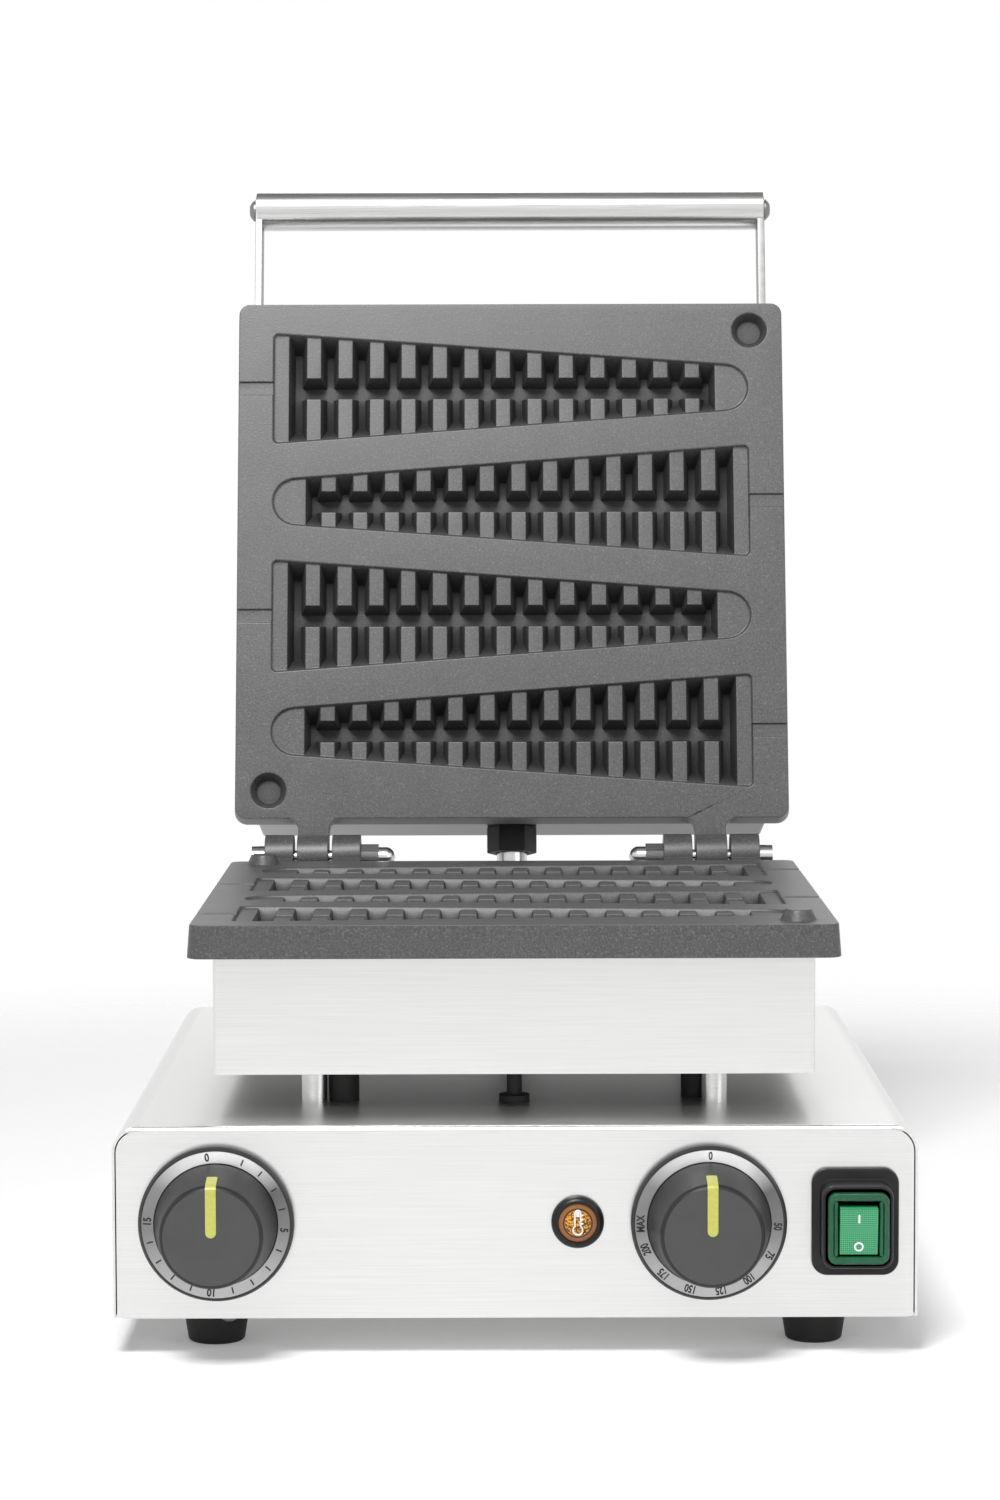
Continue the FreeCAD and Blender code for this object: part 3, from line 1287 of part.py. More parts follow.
# Hinge hardware: made with +Z from the middle of the object towards the side
def make_hinge_hardware():
    bolt = turned("hinge_bolt_form", [
        ("0", "inner_lug_start - nut_thickness - cap_nut_hex - cap_nut_thread"),
        ("hinge_pin / 2", "inner_lug_start - nut_thickness - cap_nut_hex - cap_nut_thread"),
        ("hinge_pin / 2", "outer_lug_end"),
        ("hinge_head / 2", "outer_lug_end"),
        ("hinge_head / 2", "outer_lug_end + hinge_head_length"),
        ("hinge_socket / 2", "outer_lug_end + hinge_head_length"),
        ("hinge_socket / 2", "outer_lug_end + hinge_head_length - hinge_socket_depth"),
        ("0", "outer_lug_end + hinge_head_length - hinge_socket_depth"),
    ])
    nut_z = "(inner_lug_start - nut_thickness)"
    nut = cut("hinge_nut_form", hexagon("hinge_nut_hexagon", "nut_flats", "nut_thickness", z=nut_z),
              [cylinder("hinge_nut_bore", "hinge_pin + fit_gap * 2", "nut_thickness", z=nut_z)])
    hex_z = f"({nut_z} - cap_nut_hex)"
    dome = turned("cap_nut_dome", [
        ("0", f"{hex_z} - cap_nut_dome"),
        ("cap_nut_diameter / 4", f"{hex_z} - cap_nut_dome * 0.9", "cap_nut_diameter / 2"),
        ("cap_nut_diameter / 2", f"{hex_z} - cap_nut_dome / 2"),
        ("cap_nut_diameter / 2", hex_z),
        ("0", hex_z),
    ])
    cap_hexagon = hexagon("cap_nut_hexagon", "nut_flats", "cap_nut_hex", z=hex_z)
    thread = cylinder("cap_nut_bore", "hinge_pin + fit_gap * 2", "cap_nut_hex + cap_nut_thread + play",
                      z=f"{hex_z} - cap_nut_thread - play")
    cap_nut = cut("cap_nut_form", fuse("cap_nut_solid", [dome, cap_hexagon]), [thread])
    places = [("0", HINGE_Y, PARTING_Z, side) for side in SIDES]
    for label, form in (("hinge_bolts", bolt), ("hinge_nuts", nut), ("hinge_cap_nuts", cap_nut)):
        node(label, group(f"{label}_set", copies(f"{label}_copy", form, places)))


# Wiring between the base and the lid
def make_conduit():
    centre_z = f"({LID_BASE} + conduit_height)"
    nut = cut("conduit_nut_form",
              hexagon("conduit_hexagon", "conduit_nut_flats", "conduit_nut_height", "0", BOX_REAR, centre_z,
                      "back"),
              [cylinder("conduit_bore", "hose_diameter + play * 2", "conduit_nut_height", "0", BOX_REAR,
                        centre_z, "back")])
    node("conduit_nut", nut, on_lid=True)
    bush = turned("bush_form", [
        ("hose_diameter / 2 + play", "0 - bush_inside"),
        ("bush_thread / 2", "0 - bush_inside"),
        ("bush_thread / 2", "0"),
        ("bush_flange / 2", "0"),
        ("bush_flange / 2", "bush_side", "bush_round"),
        ("bush_flange / 2 - bush_side", "bush_height"),
        ("hose_diameter / 2 + play", "bush_height"),
    ])
    node("conduit_bush", place(bush, "0", "front_y + bush_y", TOP_Z))
    swing = FreeCAD.Placement(point("0", HINGE_Y, PARTING_Z),
                              FreeCAD.Rotation(FreeCAD.Vector(1, 0, 0), -measure("lid_open_angle")))
    start = swing.multVec(point("0", f"{BOX_REAR} + play", centre_z))
    outward = swing.Rotation.multVec(FreeCAD.Vector(0, 1, 0))
    corner = start + outward * ((measure("front_y + bush_y") - start.y) / outward.y)
    end = point("0", "front_y + bush_y", f"{TOP_Z} - hose_tail")
    bend = measure("hose_bend")
    skin = tube("hose_skin", [start, corner, end], bend, measure("hose_diameter"))
    bore = tube("hose_bore_form", [start, corner, end], bend, measure("hose_bore"))
    node("conduit_hose", cut("hose_form", skin, [bore]))


make_base_housing()
make_bottom_plate()
make_feet()
make_cover_screws()
make_dial("timer", "timer_body_width", "timer_body_depth")
make_dial("thermostat", "thermostat_body_width", "thermostat_body_depth")
make_capillary()
make_lamp()
make_switch()
make_mains_gland()
make_posts()
make_sleeves()
make_plates(make_pocket_core())
make_lower_box()
make_heaters()
make_lid_box()
make_handle()
make_hinge_hardware()
make_conduit()
doc.recompute()

for item in doc.Objects:
    if "Invalid" in item.State or "Error" in item.State:
        raise RuntimeError(f"{item.Label} failed: {item.State}")
for item in NODES:
    if item.Shape.isNull() or not item.Shape.isValid() or not item.Shape.Solids:
        raise RuntimeError(f"{item.Label} has no sound shape")
os.makedirs("parts", exist_ok=True)
for item in NODES:
    item.Shape.exportStep(os.path.join("parts", f"{item.Label}.step"))
    print(f"{item.Label}: {len(item.Shape.Solids)} solids, {item.Shape.Volume / 1000:.2f} cm3")
print(f"{len(NODES)} nodes")
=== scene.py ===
# %% [markdown]
# # A stick waffle iron
# The imported CAD model already holds every hard shape of this machine: the folded steel base, the cast
# plates, the hinge and the controls. This lesson dresses it. Cast edges are softened, the dials get their
# marks, the lamp its sign and the switch its I and O, the screws get their recesses, the hose is drawn as a
# smooth tube from the base up to the open lid, and every surface gets a finish that is built from nodes.
# Sizes are in metres, in the CAD's own frame.

# %% Load the imported model and keep its box
import json
import math

import bpy
from mathutils import Matrix, Vector


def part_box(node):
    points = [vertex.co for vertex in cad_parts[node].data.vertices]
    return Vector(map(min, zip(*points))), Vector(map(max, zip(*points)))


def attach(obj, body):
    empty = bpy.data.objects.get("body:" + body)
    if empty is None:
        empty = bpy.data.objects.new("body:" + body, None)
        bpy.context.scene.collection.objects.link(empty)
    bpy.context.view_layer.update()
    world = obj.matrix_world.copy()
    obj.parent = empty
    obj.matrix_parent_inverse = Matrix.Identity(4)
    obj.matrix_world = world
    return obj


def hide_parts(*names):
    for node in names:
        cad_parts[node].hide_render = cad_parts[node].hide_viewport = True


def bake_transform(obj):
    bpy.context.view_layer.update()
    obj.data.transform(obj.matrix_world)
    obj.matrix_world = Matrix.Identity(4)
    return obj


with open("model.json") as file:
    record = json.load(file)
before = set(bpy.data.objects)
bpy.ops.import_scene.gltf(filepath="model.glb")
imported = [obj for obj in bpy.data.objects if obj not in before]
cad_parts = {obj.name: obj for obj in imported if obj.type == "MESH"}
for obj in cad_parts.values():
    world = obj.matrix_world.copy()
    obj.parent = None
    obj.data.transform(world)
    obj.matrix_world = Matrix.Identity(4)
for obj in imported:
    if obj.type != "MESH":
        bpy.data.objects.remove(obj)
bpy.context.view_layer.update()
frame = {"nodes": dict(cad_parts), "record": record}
nodes = frame["nodes"]
record = frame["record"]
joints = {joint["name"]: joint for joint in record["behaviour"]["joints"]}

# %% [markdown]
# ## Places
# The lid, the dials and the rocker each have a place of their own on the real machine. A matrix for
# each lets a piece be modelled in simple numbers, as if it lay flat on the bench, and then be put where
# it belongs. On the panel, x runs right, y up and z out towards the cook.

# %% Places of the panel, the dials, the lamp, the switch and the lid
MM = 0.001
QUARTER = math.radians(90)
PANEL_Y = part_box("base_housing")[0][1]
CONTROL_Z = joints["timer_turn"]["pos_m"][2]


def on_panel(x):
    """The place of a control whose middle is at x on the front panel."""
    return Matrix.Translation((x, PANEL_Y, CONTROL_Z)) @ Matrix.Rotation(QUARTER, 4, "X")


def middle_x(node):
    """The x of the middle of a CAD node."""
    low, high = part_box(node)
    return (low[0] + high[0]) / 2


TIMER = on_panel(joints["timer_turn"]["pos_m"][0])
THERMOSTAT = on_panel(joints["thermostat_turn"]["pos_m"][0])
LAMP = on_panel(middle_x("lamp_lens"))
ROCKER_TILT = math.radians(8)
ROCKER = (Matrix.Translation(joints["switch_tilt"]["pos_m"])
          @ Matrix.Rotation(QUARTER + ROCKER_TILT, 4, "X"))
LID_OPEN = math.radians(joints["lid_hinge"]["range_deg"][1])
LID = Matrix.Translation(joints["lid_hinge"]["pos_m"]) @ Matrix.Rotation(-LID_OPEN, 4, "X")
print("panel at y", PANEL_Y, "controls at z", CONTROL_Z)

# %% [markdown]
# ## Camera
# The photograph was taken with a long lens, a little above the middle of the machine and looking slightly
# down. The camera here was fitted to corners of the machine in the picture: its spot, its three small
# turns and its focal length, which is given in pixels of a frame of 1000 by 1500.

# %% Camera
SENSOR = 36.0
FOCAL_PIXELS, FRAME_HEIGHT = 3841.4, 1500
PITCH, YAW, ROLL = math.radians(4.233), math.radians(-0.024), math.radians(-0.159)
CAMERA_SPOT = (-4.6 * MM, PANEL_Y - 1437.4 * MM, 337.0 * MM)
CLIP_END = 20
bpy.ops.object.select_all(action="DESELECT")
bpy.ops.object.camera_add(location=CAMERA_SPOT)
camera = bpy.context.object
camera.name = "portrait_camera"
aim = (Matrix.Rotation(-YAW, 4, "Z") @ Matrix.Rotation(QUARTER - PITCH, 4, "X")
       @ Matrix.Rotation(ROLL, 4, "Z"))
camera.rotation_euler = aim.to_euler()
camera.data.sensor_fit = "VERTICAL"
camera.data.sensor_height = SENSOR
camera.data.lens = SENSOR * FOCAL_PIXELS / FRAME_HEIGHT
camera.data.clip_end = CLIP_END
bpy.context.scene.camera = camera
bpy.context.scene.view_settings.view_transform = "Standard"
print("lens", round(camera.data.lens, 2), "mm")

# %% [markdown]
# ## Helpers for finishes
# A finish starts from one Principled shader with plain values, and nodes are added only for what changes
# over the surface. Four small functions do it: a colour from its hex value, a new finish, one more node,
# and a link into the shader. A Mix node keeps a pair of inputs and a result for each kind of value, which
# can only be told apart by their numbers, so those numbers get names here.

# %% A colour, a finish, a node and a link
NUMBER_A, NUMBER_B, NUMBER = 2, 3, 0
VECTOR_A, VECTOR_B, VECTOR = 4, 5, 1
COLOUR_A, COLOUR_B, COLOUR = 6, 7, 2


def linear(hex_colour):
    """An sRGB hex colour as linear red, green, blue and alpha."""
    parts = [int(hex_colour[start:start + 2], 16) / 255 for start in (1, 3, 5)]
    return [part / 12.92 if part <= 0.04045 else ((part + 0.055) / 1.055) ** 2.4 for part in parts] + [1.0]


def new_finish(name, colour, **sockets):
    """A Principled finish. Sockets are given by name, with _ for a space."""
    finish = bpy.data.materials.new(name)
    finish.use_nodes = True
    shader = finish.node_tree.nodes["Principled BSDF"]
    shader.inputs["Base Color"].default_value = linear(colour)
    for socket, value in sockets.items():
        shader.inputs[socket.replace("_", " ").title().replace("Ior", "IOR")].default_value = value
    return finish


def add_node(finish, kind, values=None, links=None, stops=(), **settings):
    """Adds one node.

    Values go to its sockets, links name the (node, output) that feeds a socket, and stops fill a ramp.
    """
    node = finish.node_tree.nodes.new(kind)
    for setting, value in settings.items():
        setattr(node, setting, value)
    for socket, value in (values or {}).items():
        node.inputs[socket].default_value = value
    for socket, (source, output) in (links or {}).items():
        finish.node_tree.links.new(source.outputs[output], node.inputs[socket])
    for index, (position, colour) in enumerate(stops):
        elements = node.color_ramp.elements
        stop = elements[index] if index < 2 else elements.new(position)
        stop.position = position
        stop.color = linear(colour)
    return node


def feed(finish, socket, source, output):
    """Feeds one socket of the finish's Principled shader."""
    shader = finish.node_tree.nodes["Principled BSDF"]
    finish.node_tree.links.new(source.outputs[output], shader.inputs[socket])


# %% [markdown]
# ## Floor
# The photograph has a white ground without an edge, and a soft shadow under the feet, as on a sweep of
# paper. A curved sheet would do, but it would stand in the way of views from behind. So the floor is
# flat, and its material turns clear with the distance from the machine, where the white world takes over.

# %% Floor that fades into the white room
FLOOR_SIZE = 8
FADE_START, FADE_END = 0.5, 0.95
bpy.ops.mesh.primitive_plane_add(size=FLOOR_SIZE, location=(0, 0, 0))
floor = bpy.context.object
floor.name = "white_floor"
# Matt coated paper: nearly white all over, with no gloss. A little glow stands for the lit room round it.
floor_finish = new_finish("white_paper_sweep", "#f4f4f4", roughness=0.9, emission_strength=0.15,
                          emission_color=linear("#ffffff"))
floor.data.materials.append(floor_finish)
place = add_node(floor_finish, "ShaderNodeTexCoord")
distance = add_node(floor_finish, "ShaderNodeVectorMath", links={0: (place, "Object")}, operation="LENGTH")
fade = add_node(floor_finish, "ShaderNodeMapRange", {"From Min": FADE_START, "From Max": FADE_END},
                {"Value": (distance, "Value")}, interpolation_type="SMOOTHSTEP")
clear = add_node(floor_finish, "ShaderNodeBsdfTransparent")
paper = floor_finish.node_tree.nodes["Principled BSDF"]
sheet = add_node(floor_finish, "ShaderNodeMixShader", links={0: (fade, 0), 1: (paper, 0), 2: (clear, 0)})
floor_output = floor_finish.node_tree.nodes["Material Output"]
floor_finish.node_tree.links.new(sheet.outputs[0], floor_output.inputs["Surface"])
print("floor fades from", FADE_START, "to", FADE_END, "m")

# %% [markdown]
# ## Light
# Steel looks like what it reflects, and the bright steel of this machine reflects a white room with a
# greyer ceiling. The world is white to the camera, to reflections and through glass, and weak as a lamp,
# so that soft boxes shape the object. A grey card overhead gives the top faces their darker tone.

# %% Ceiling card
CARD_SPOT, CARD_SIZE = (0, 1.0, 2.1), (5, 3.2, 1)
bpy.ops.mesh.primitive_plane_add(size=1, location=CARD_SPOT)
ceiling = bpy.context.object
ceiling.name = "grey_ceiling_card"
ceiling.scale = CARD_SIZE
bpy.ops.object.transform_apply(scale=True)
# Matt card: an even grey without gloss.
ceiling.data.materials.append(new_finish("grey_card", "#c2c2c2", roughness=0.9))
print("ceiling card at", CARD_SPOT)

# %% White world
WORLD_LIGHT = 0.14
world = bpy.data.worlds.new("white_room")
bpy.context.scene.world = world
world.use_nodes = True
room = world.node_tree.nodes["Background"]
room.inputs["Color"].default_value = linear("#ffffff")
room.inputs["Strength"].default_value = WORLD_LIGHT
sweep = add_node(world, "ShaderNodeBackground", {"Color": linear("#ffffff"), "Strength": 1.0})
ray = add_node(world, "ShaderNodeLightPath")
seen = add_node(world, "ShaderNodeMath", links={0: (ray, "Is Camera Ray"), 1: (ray, "Is Glossy Ray")},
                operation="MAXIMUM")
seen = add_node(world, "ShaderNodeMath", links={0: (seen, 0), 1: (ray, "Is Transmission Ray")},
                operation="MAXIMUM")
choice = add_node(world, "ShaderNodeMixShader", links={0: (seen, 0), 1: (room, 0), 2: (sweep, 0)})
world.node_tree.links.new(choice.outputs[0], world.node_tree.nodes["World Output"].inputs["Surface"])
print("world lights with", WORLD_LIGHT)

# %% Soft boxes: spot, size in metres, watts
LAMPS = {
    "key_softbox": ((-0.3, -1.2, 1.72), 0.6, 36),
    "fill_softbox": ((1.3, -1.1, 0.9), 1.0, 5),
    "back_softbox": ((0.2, 1.3, 1.5), 1.0, 8),
}
LAMP_TARGET = Vector((0, 0, 0.2))
for name, (spot, size, watts) in LAMPS.items():
    bpy.ops.object.light_add(type="AREA", location=spot)
    lamp = bpy.context.object
    lamp.name = name
    lamp.data.size = size
    lamp.data.energy = watts
    lamp.rotation_euler = (LAMP_TARGET - Vector(spot)).to_track_quat("-Z", "Y").to_euler()
print(len(LAMPS), "lamps")

# %% [markdown]
# ## Brushed stainless steel
# The base and both boxes are stainless sheet, ground with a belt. The belt leaves short fine lines all one
# way, across the machine on the panels and front to back on the side walls. One noise, stretched along the
# grain, makes the lines, and the face's own normal says which way to stretch it. Real lines are about 0.1 mm
# wide and wouldn't show in the picture, so they are drawn at about 0.5 mm. The faces of the boxes that point
# down with the lid open are darker in the photograph than a white room would make them, so they get a darker
# grey, matched to it. That grey is painted shade: it stands in for the shade and the dark reflections that
# those faces take from the plates and the base below them.

# %% Brushed sheet: the grain
LINE_WIDTH, LINE_LENGTH = 0.5 * MM, 45 * MM
SIDE_FACING, DOWN_FACING = 0.7, -0.8
BASE_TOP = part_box("base_housing")[1][2]
# Belt-ground stainless: bright, with a soft sheen and faint lines.
brushed_sheet = new_finish("brushed_stainless_steel", "#dedede", metallic=1.0, roughness=0.3)
place = add_node(brushed_sheet, "ShaderNodeTexCoord")
across = add_node(brushed_sheet, "ShaderNodeMapping",
                  {"Scale": (1 / LINE_LENGTH, 1 / LINE_WIDTH, 1 / LINE_WIDTH)}, {"Vector": (place, "Object")})
along = add_node(brushed_sheet, "ShaderNodeMapping",
                 {"Scale": (1 / LINE_WIDTH, 1 / LINE_LENGTH, 1 / LINE_WIDTH)}, {"Vector": (place, "Object")})
facing = add_node(brushed_sheet, "ShaderNodeSeparateXYZ", links={"Vector": (place, "Normal")})
sideways = add_node(brushed_sheet, "ShaderNodeMath", links={0: (facing, "X")}, operation="ABSOLUTE")
is_side = add_node(brushed_sheet, "ShaderNodeMath", {1: SIDE_FACING}, {0: (sideways, 0)},
                   operation="GREATER_THAN")
grain_way = add_node(brushed_sheet, "ShaderNodeMix",
                     links={0: (is_side, 0), VECTOR_A: (across, 0), VECTOR_B: (along, 0)}, data_type="VECTOR")
grain = add_node(brushed_sheet, "ShaderNodeTexNoise", {"Scale": 1.0, "Detail": 3.0},
                 {"Vector": (grain_way, VECTOR)})
print("brush lines", LINE_WIDTH / MM, "by", LINE_LENGTH / MM, "mm")

# %% Brushed sheet: roughness, tone and lines
rough = add_node(brushed_sheet, "ShaderNodeMapRange", {"To Min": 0.24, "To Max": 0.4}, {"Value": (grain, 0)})
feed(brushed_sheet, "Roughness", rough, 0)
ground = add_node(brushed_sheet, "ShaderNodeMix", {COLOUR_A: linear("#d6d6d5"), COLOUR_B: linear("#e8e8e7")},
                  {0: (grain, 0)}, data_type="RGBA")
height = add_node(brushed_sheet, "ShaderNodeSeparateXYZ", links={"Vector": (place, "Object")})
is_box = add_node(brushed_sheet, "ShaderNodeMath", {1: BASE_TOP}, {0: (height, "Z")},
                  operation="GREATER_THAN")
is_down = add_node(brushed_sheet, "ShaderNodeMath", {1: DOWN_FACING}, {0: (facing, "Z")},
                   operation="LESS_THAN")
# Painted shade: faces above the base that point down get a darker grey in place of their shade and dark
# reflections.
painted_shade_under = add_node(brushed_sheet, "ShaderNodeMath", links={0: (is_box, 0), 1: (is_down, 0)},
                    operation="MULTIPLY")
tone_with_painted_shade = add_node(brushed_sheet, "ShaderNodeMix", {COLOUR_B: linear("#7e7e7d")},
                      {0: (painted_shade_under, 0), COLOUR_A: (ground, COLOUR)}, data_type="RGBA")
feed(brushed_sheet, "Base Color", tone_with_painted_shade, COLOUR)
lines = add_node(brushed_sheet, "ShaderNodeBump", {"Strength": 0.12, "Distance": 0.03 * MM},
                 {"Height": (grain, 0)})
feed(brushed_sheet, "Normal", lines, 0)
print("brushed sheet:", len(brushed_sheet.node_tree.nodes), "nodes")

# %% [markdown]
# ## Turned and polished steel
# The handle bar, the posts, the hinge bolts and their nuts are plain stainless bar. It is smoother than
# the sheet, with faint draw lines, so it takes a sharper picture of the white room. The lines run along
# x, as they do on the handle, which is the longest bar and the one that shows most.

# %% Polished bar
DRAW_WIDTH, DRAW_LENGTH = 0.6 * MM, 30 * MM
# Drawn and polished stainless: nearly a mirror, broken by faint streaks.
polished_bar = new_finish("polished_stainless_bar", "#d0d0cf", metallic=1.0, roughness=0.2)
place = add_node(polished_bar, "ShaderNodeTexCoord")
drawn = add_node(polished_bar, "ShaderNodeMapping",
                 {"Scale": (1 / DRAW_LENGTH, 1 / DRAW_WIDTH, 1 / DRAW_WIDTH)}, {"Vector": (place, "Object")})
streak = add_node(polished_bar, "ShaderNodeTexNoise", {"Scale": 1.0, "Detail": 2.0}, {"Vector": (drawn, 0)})
rough = add_node(polished_bar, "ShaderNodeMapRange", {"To Min": 0.14, "To Max": 0.3}, {"Value": (streak, 0)})
feed(polished_bar, "Roughness", rough, 0)
tone = add_node(polished_bar, "ShaderNodeMix", {COLOUR_A: linear("#bdbdbc"), COLOUR_B: linear("#dededd")},
                {0: (streak, 0)}, data_type="RGBA")
feed(polished_bar, "Base Color", tone, COLOUR)
print("polished bar:", len(polished_bar.node_tree.nodes), "nodes")

# %% [markdown]
# ## Strip, heater tube and copper
# The handle's arms and the screws are cold-rolled steel, duller and darker than the bar. The heaters in
# the boxes are steel tube that the heat has tinted, and the thermostat's capillary is drawn copper. None
# of them has lines that show. Each is two close tones, mixed by a noise of the size of its blotches, so
# one function makes all of them.

# %% Cold-rolled strip, heat-tinted tube and drawn copper


def mottle(finish, size, detail, dark, light):
    """Feeds a finish with two tones, mixed by a noise of a real size. Returns the noise."""
    place = add_node(finish, "ShaderNodeTexCoord")
    noise = add_node(finish, "ShaderNodeTexNoise", {"Scale": 1 / size, "Detail": detail},
                     {"Vector": (place, "Object")})
    tone = add_node(finish, "ShaderNodeMix", {COLOUR_A: linear(dark), COLOUR_B: linear(light)},
                    {0: (noise, 0)}, data_type="RGBA")
    feed(finish, "Base Color", tone, COLOUR)
    return noise


# Cold-rolled steel: grey, with a blurred sheen.
rolled_strip = new_finish("cold_rolled_strip", "#868685", metallic=1.0, roughness=0.4)
blotches = mottle(rolled_strip, 4 * MM, 3.0, "#787877", "#949493")
rough = add_node(rolled_strip, "ShaderNodeMapRange", {"To Min": 0.32, "To Max": 0.48},
                 {"Value": (blotches, 0)})
feed(rolled_strip, "Roughness", rough, 0)
# Steel tube that has glowed: straw and blue-grey clouds on a dull metal.
heater_tube = new_finish("heat_tinted_tube", "#6d655c", metallic=1.0, roughness=0.42)
mottle(heater_tube, 25 * MM, 2.0, "#7c6a55", "#57575c")
# Drawn copper: warm, half bright, slightly tarnished.
drawn_copper = new_finish("drawn_copper", "#b5714d", metallic=1.0, roughness=0.33)
mottle(drawn_copper, 8 * MM, 2.0, "#9c5c3c", "#c98662")
print("strip, tube and copper made")

# %% [markdown]
# ## Coated casting
# The plates are cast aluminium under a dark non-stick coat. The coat is satin, a little uneven, with fine
# pits left by the sand and a few pale specks. Large soft clouds change its tone, a fine grain of about 0.75
# mm roughens it, and rare specks catch the light. Between the teeth the photograph is darker and duller than
# on the faces that meet. The Ambient Occlusion node, with a reach of 12 mm, finds those recesses and gives
# them a rougher coat with less gloss and a darker tone, matched to it. The darker tone is painted shade,
# which stands in for the shade that falls between the teeth.

# %% Coated casting: tone, grain and specks
CLOUD_SIZE, GRIT_SIZE = 18 * MM, 0.75 * MM
# Satin coat on a sand casting: dark grey, grainy, with a broad soft gloss.
coated_casting = new_finish("coated_cast_aluminium", "#4a4a4b", roughness=0.4, ior=1.58)
mottle(coated_casting, CLOUD_SIZE, 4.0, "#434344", "#545455")
tone = coated_casting.node_tree.nodes["Principled BSDF"].inputs["Base Color"].links[0].from_node
place = add_node(coated_casting, "ShaderNodeTexCoord")
grit = add_node(coated_casting, "ShaderNodeTexNoise", {"Scale": 1 / GRIT_SIZE, "Detail": 2.0},
                {"Vector": (place, "Object")})
grains = add_node(coated_casting, "ShaderNodeMapRange",
                  {"From Min": 0.3, "From Max": 0.7, "To Min": 0.65, "To Max": 1.35}, {"Value": (grit, 0)})
grained = add_node(coated_casting, "ShaderNodeMix", {0: 1.0},
                   {COLOUR_A: (tone, COLOUR), COLOUR_B: (grains, 0)}, data_type="RGBA",
                   blend_type="MULTIPLY")
speck = add_node(coated_casting, "ShaderNodeMapRange", {"From Min": 0.62, "From Max": 0.76},
                 {"Value": (grit, 0)})
speckled = add_node(coated_casting, "ShaderNodeMix", {COLOUR_B: linear("#707072")},
                    {0: (speck, 0), COLOUR_A: (grained, COLOUR)}, data_type="RGBA")
print("grain", GRIT_SIZE / MM, "mm on clouds of", CLOUD_SIZE / MM, "mm")

# %% Coated casting: dull dark recesses, satin faces, pits
RECESS_REACH = 12 * MM
recess = add_node(coated_casting, "ShaderNodeAmbientOcclusion", {"Distance": RECESS_REACH}, samples=8,
                  only_local=True)
open_share = add_node(coated_casting, "ShaderNodeMapRange",
                      {"From Min": 0.33, "From Max": 0.9, "To Min": 0.05, "To Max": 1.0},
                      {"Value": (recess, "AO")})
# Painted shade: the base colour is darkened in the recesses between the teeth.
recess_painted_shade = add_node(coated_casting, "ShaderNodeMix", {0: 1.0},
                    {COLOUR_A: (speckled, COLOUR), COLOUR_B: (open_share, 0)}, data_type="RGBA",
                    blend_type="MULTIPLY")
feed(coated_casting, "Base Color", recess_painted_shade, COLOUR)
satin = add_node(coated_casting, "ShaderNodeMapRange", {"To Min": 0.32, "To Max": 0.5}, {"Value": (grit, 0)})
rough = add_node(coated_casting, "ShaderNodeMix", {NUMBER_A: 0.95},
                 {0: (open_share, 0), NUMBER_B: (satin, 0)})
feed(coated_casting, "Roughness", rough, NUMBER)
pits = add_node(coated_casting, "ShaderNodeBump", {"Strength": 0.35, "Distance": 0.12 * MM},
                {"Height": (grit, 0)})
feed(coated_casting, "Normal", pits, 0)
print("coated casting:", len(coated_casting.node_tree.nodes), "nodes")

# %% [markdown]
# ## Rubber and moulded plastics
# Feet and sleeves are black rubber, dull and slightly dusty. The dials and the switch frame are moulded
# plastic, and their moulds were spark-eroded, which leaves a fine grain: satin on the dials, glossier on
# the switch. They differ only in their numbers, so a table and a loop make them. The grain is drawn at
# 0.35 to 0.8 mm, coarser than the real one, so that it shows.

# %% Rubber and plastics: dark and light tone, roughness, grain in mm, strength of the grain
PLASTICS = {
    # Black rubber: no shine, and a grey bloom.
    "moulded_rubber": ("#232323", "#2e2d2c", 0.62, 0.8, 0.5),
    # Grey ABS: satin, so the knobs look soft.
    "dial_abs": ("#4b4b4b", "#535353", 0.42, 0.35, 0.45),
    # Dark ABS: a little glossier, so the bezel's rim draws a line of light.
    "bezel_abs": ("#333334", "#3f3f40", 0.36, 0.35, 0.3),
    # Black nylon: glossy black with rounded lights at the steps of the frame.
    "switch_nylon": ("#1c1c1d", "#262627", 0.4, 0.4, 0.5),
    "lamp_ring_nylon": ("#161616", "#1f1f1f", 0.34, 0.35, 0.3),
    # Filled nylon of the control cases: flat black.
    "control_case": ("#262626", "#303030", 0.5, 0.6, 0.4),
}
PLASTIC_CLOUD = 9 * MM
ROUGHNESS_SPREAD = 0.06
plastics = {}
for name, (dark, light, roughness, grain_mm, strength) in PLASTICS.items():
    plastic = new_finish(name, dark, roughness=roughness, ior=1.46, specular_ior_level=0.3)
    mottle(plastic, PLASTIC_CLOUD, 3.0, dark, light)
    place = add_node(plastic, "ShaderNodeTexCoord")
    spark = add_node(plastic, "ShaderNodeTexNoise", {"Scale": 1 / (grain_mm * MM), "Detail": 1.0},
                     {"Vector": (place, "Object")})
    rough = add_node(plastic, "ShaderNodeMapRange",
                     {"To Min": roughness - ROUGHNESS_SPREAD, "To Max": roughness + ROUGHNESS_SPREAD},
                     {"Value": (spark, 0)})
    feed(plastic, "Roughness", rough, 0)
    texture = add_node(plastic, "ShaderNodeBump", {"Strength": strength, "Distance": 0.02 * MM},
                       {"Height": (spark, 0)})
    feed(plastic, "Normal", texture, 0)
    plastics[name] = plastic
print("plastics:", ", ".join(plastics))
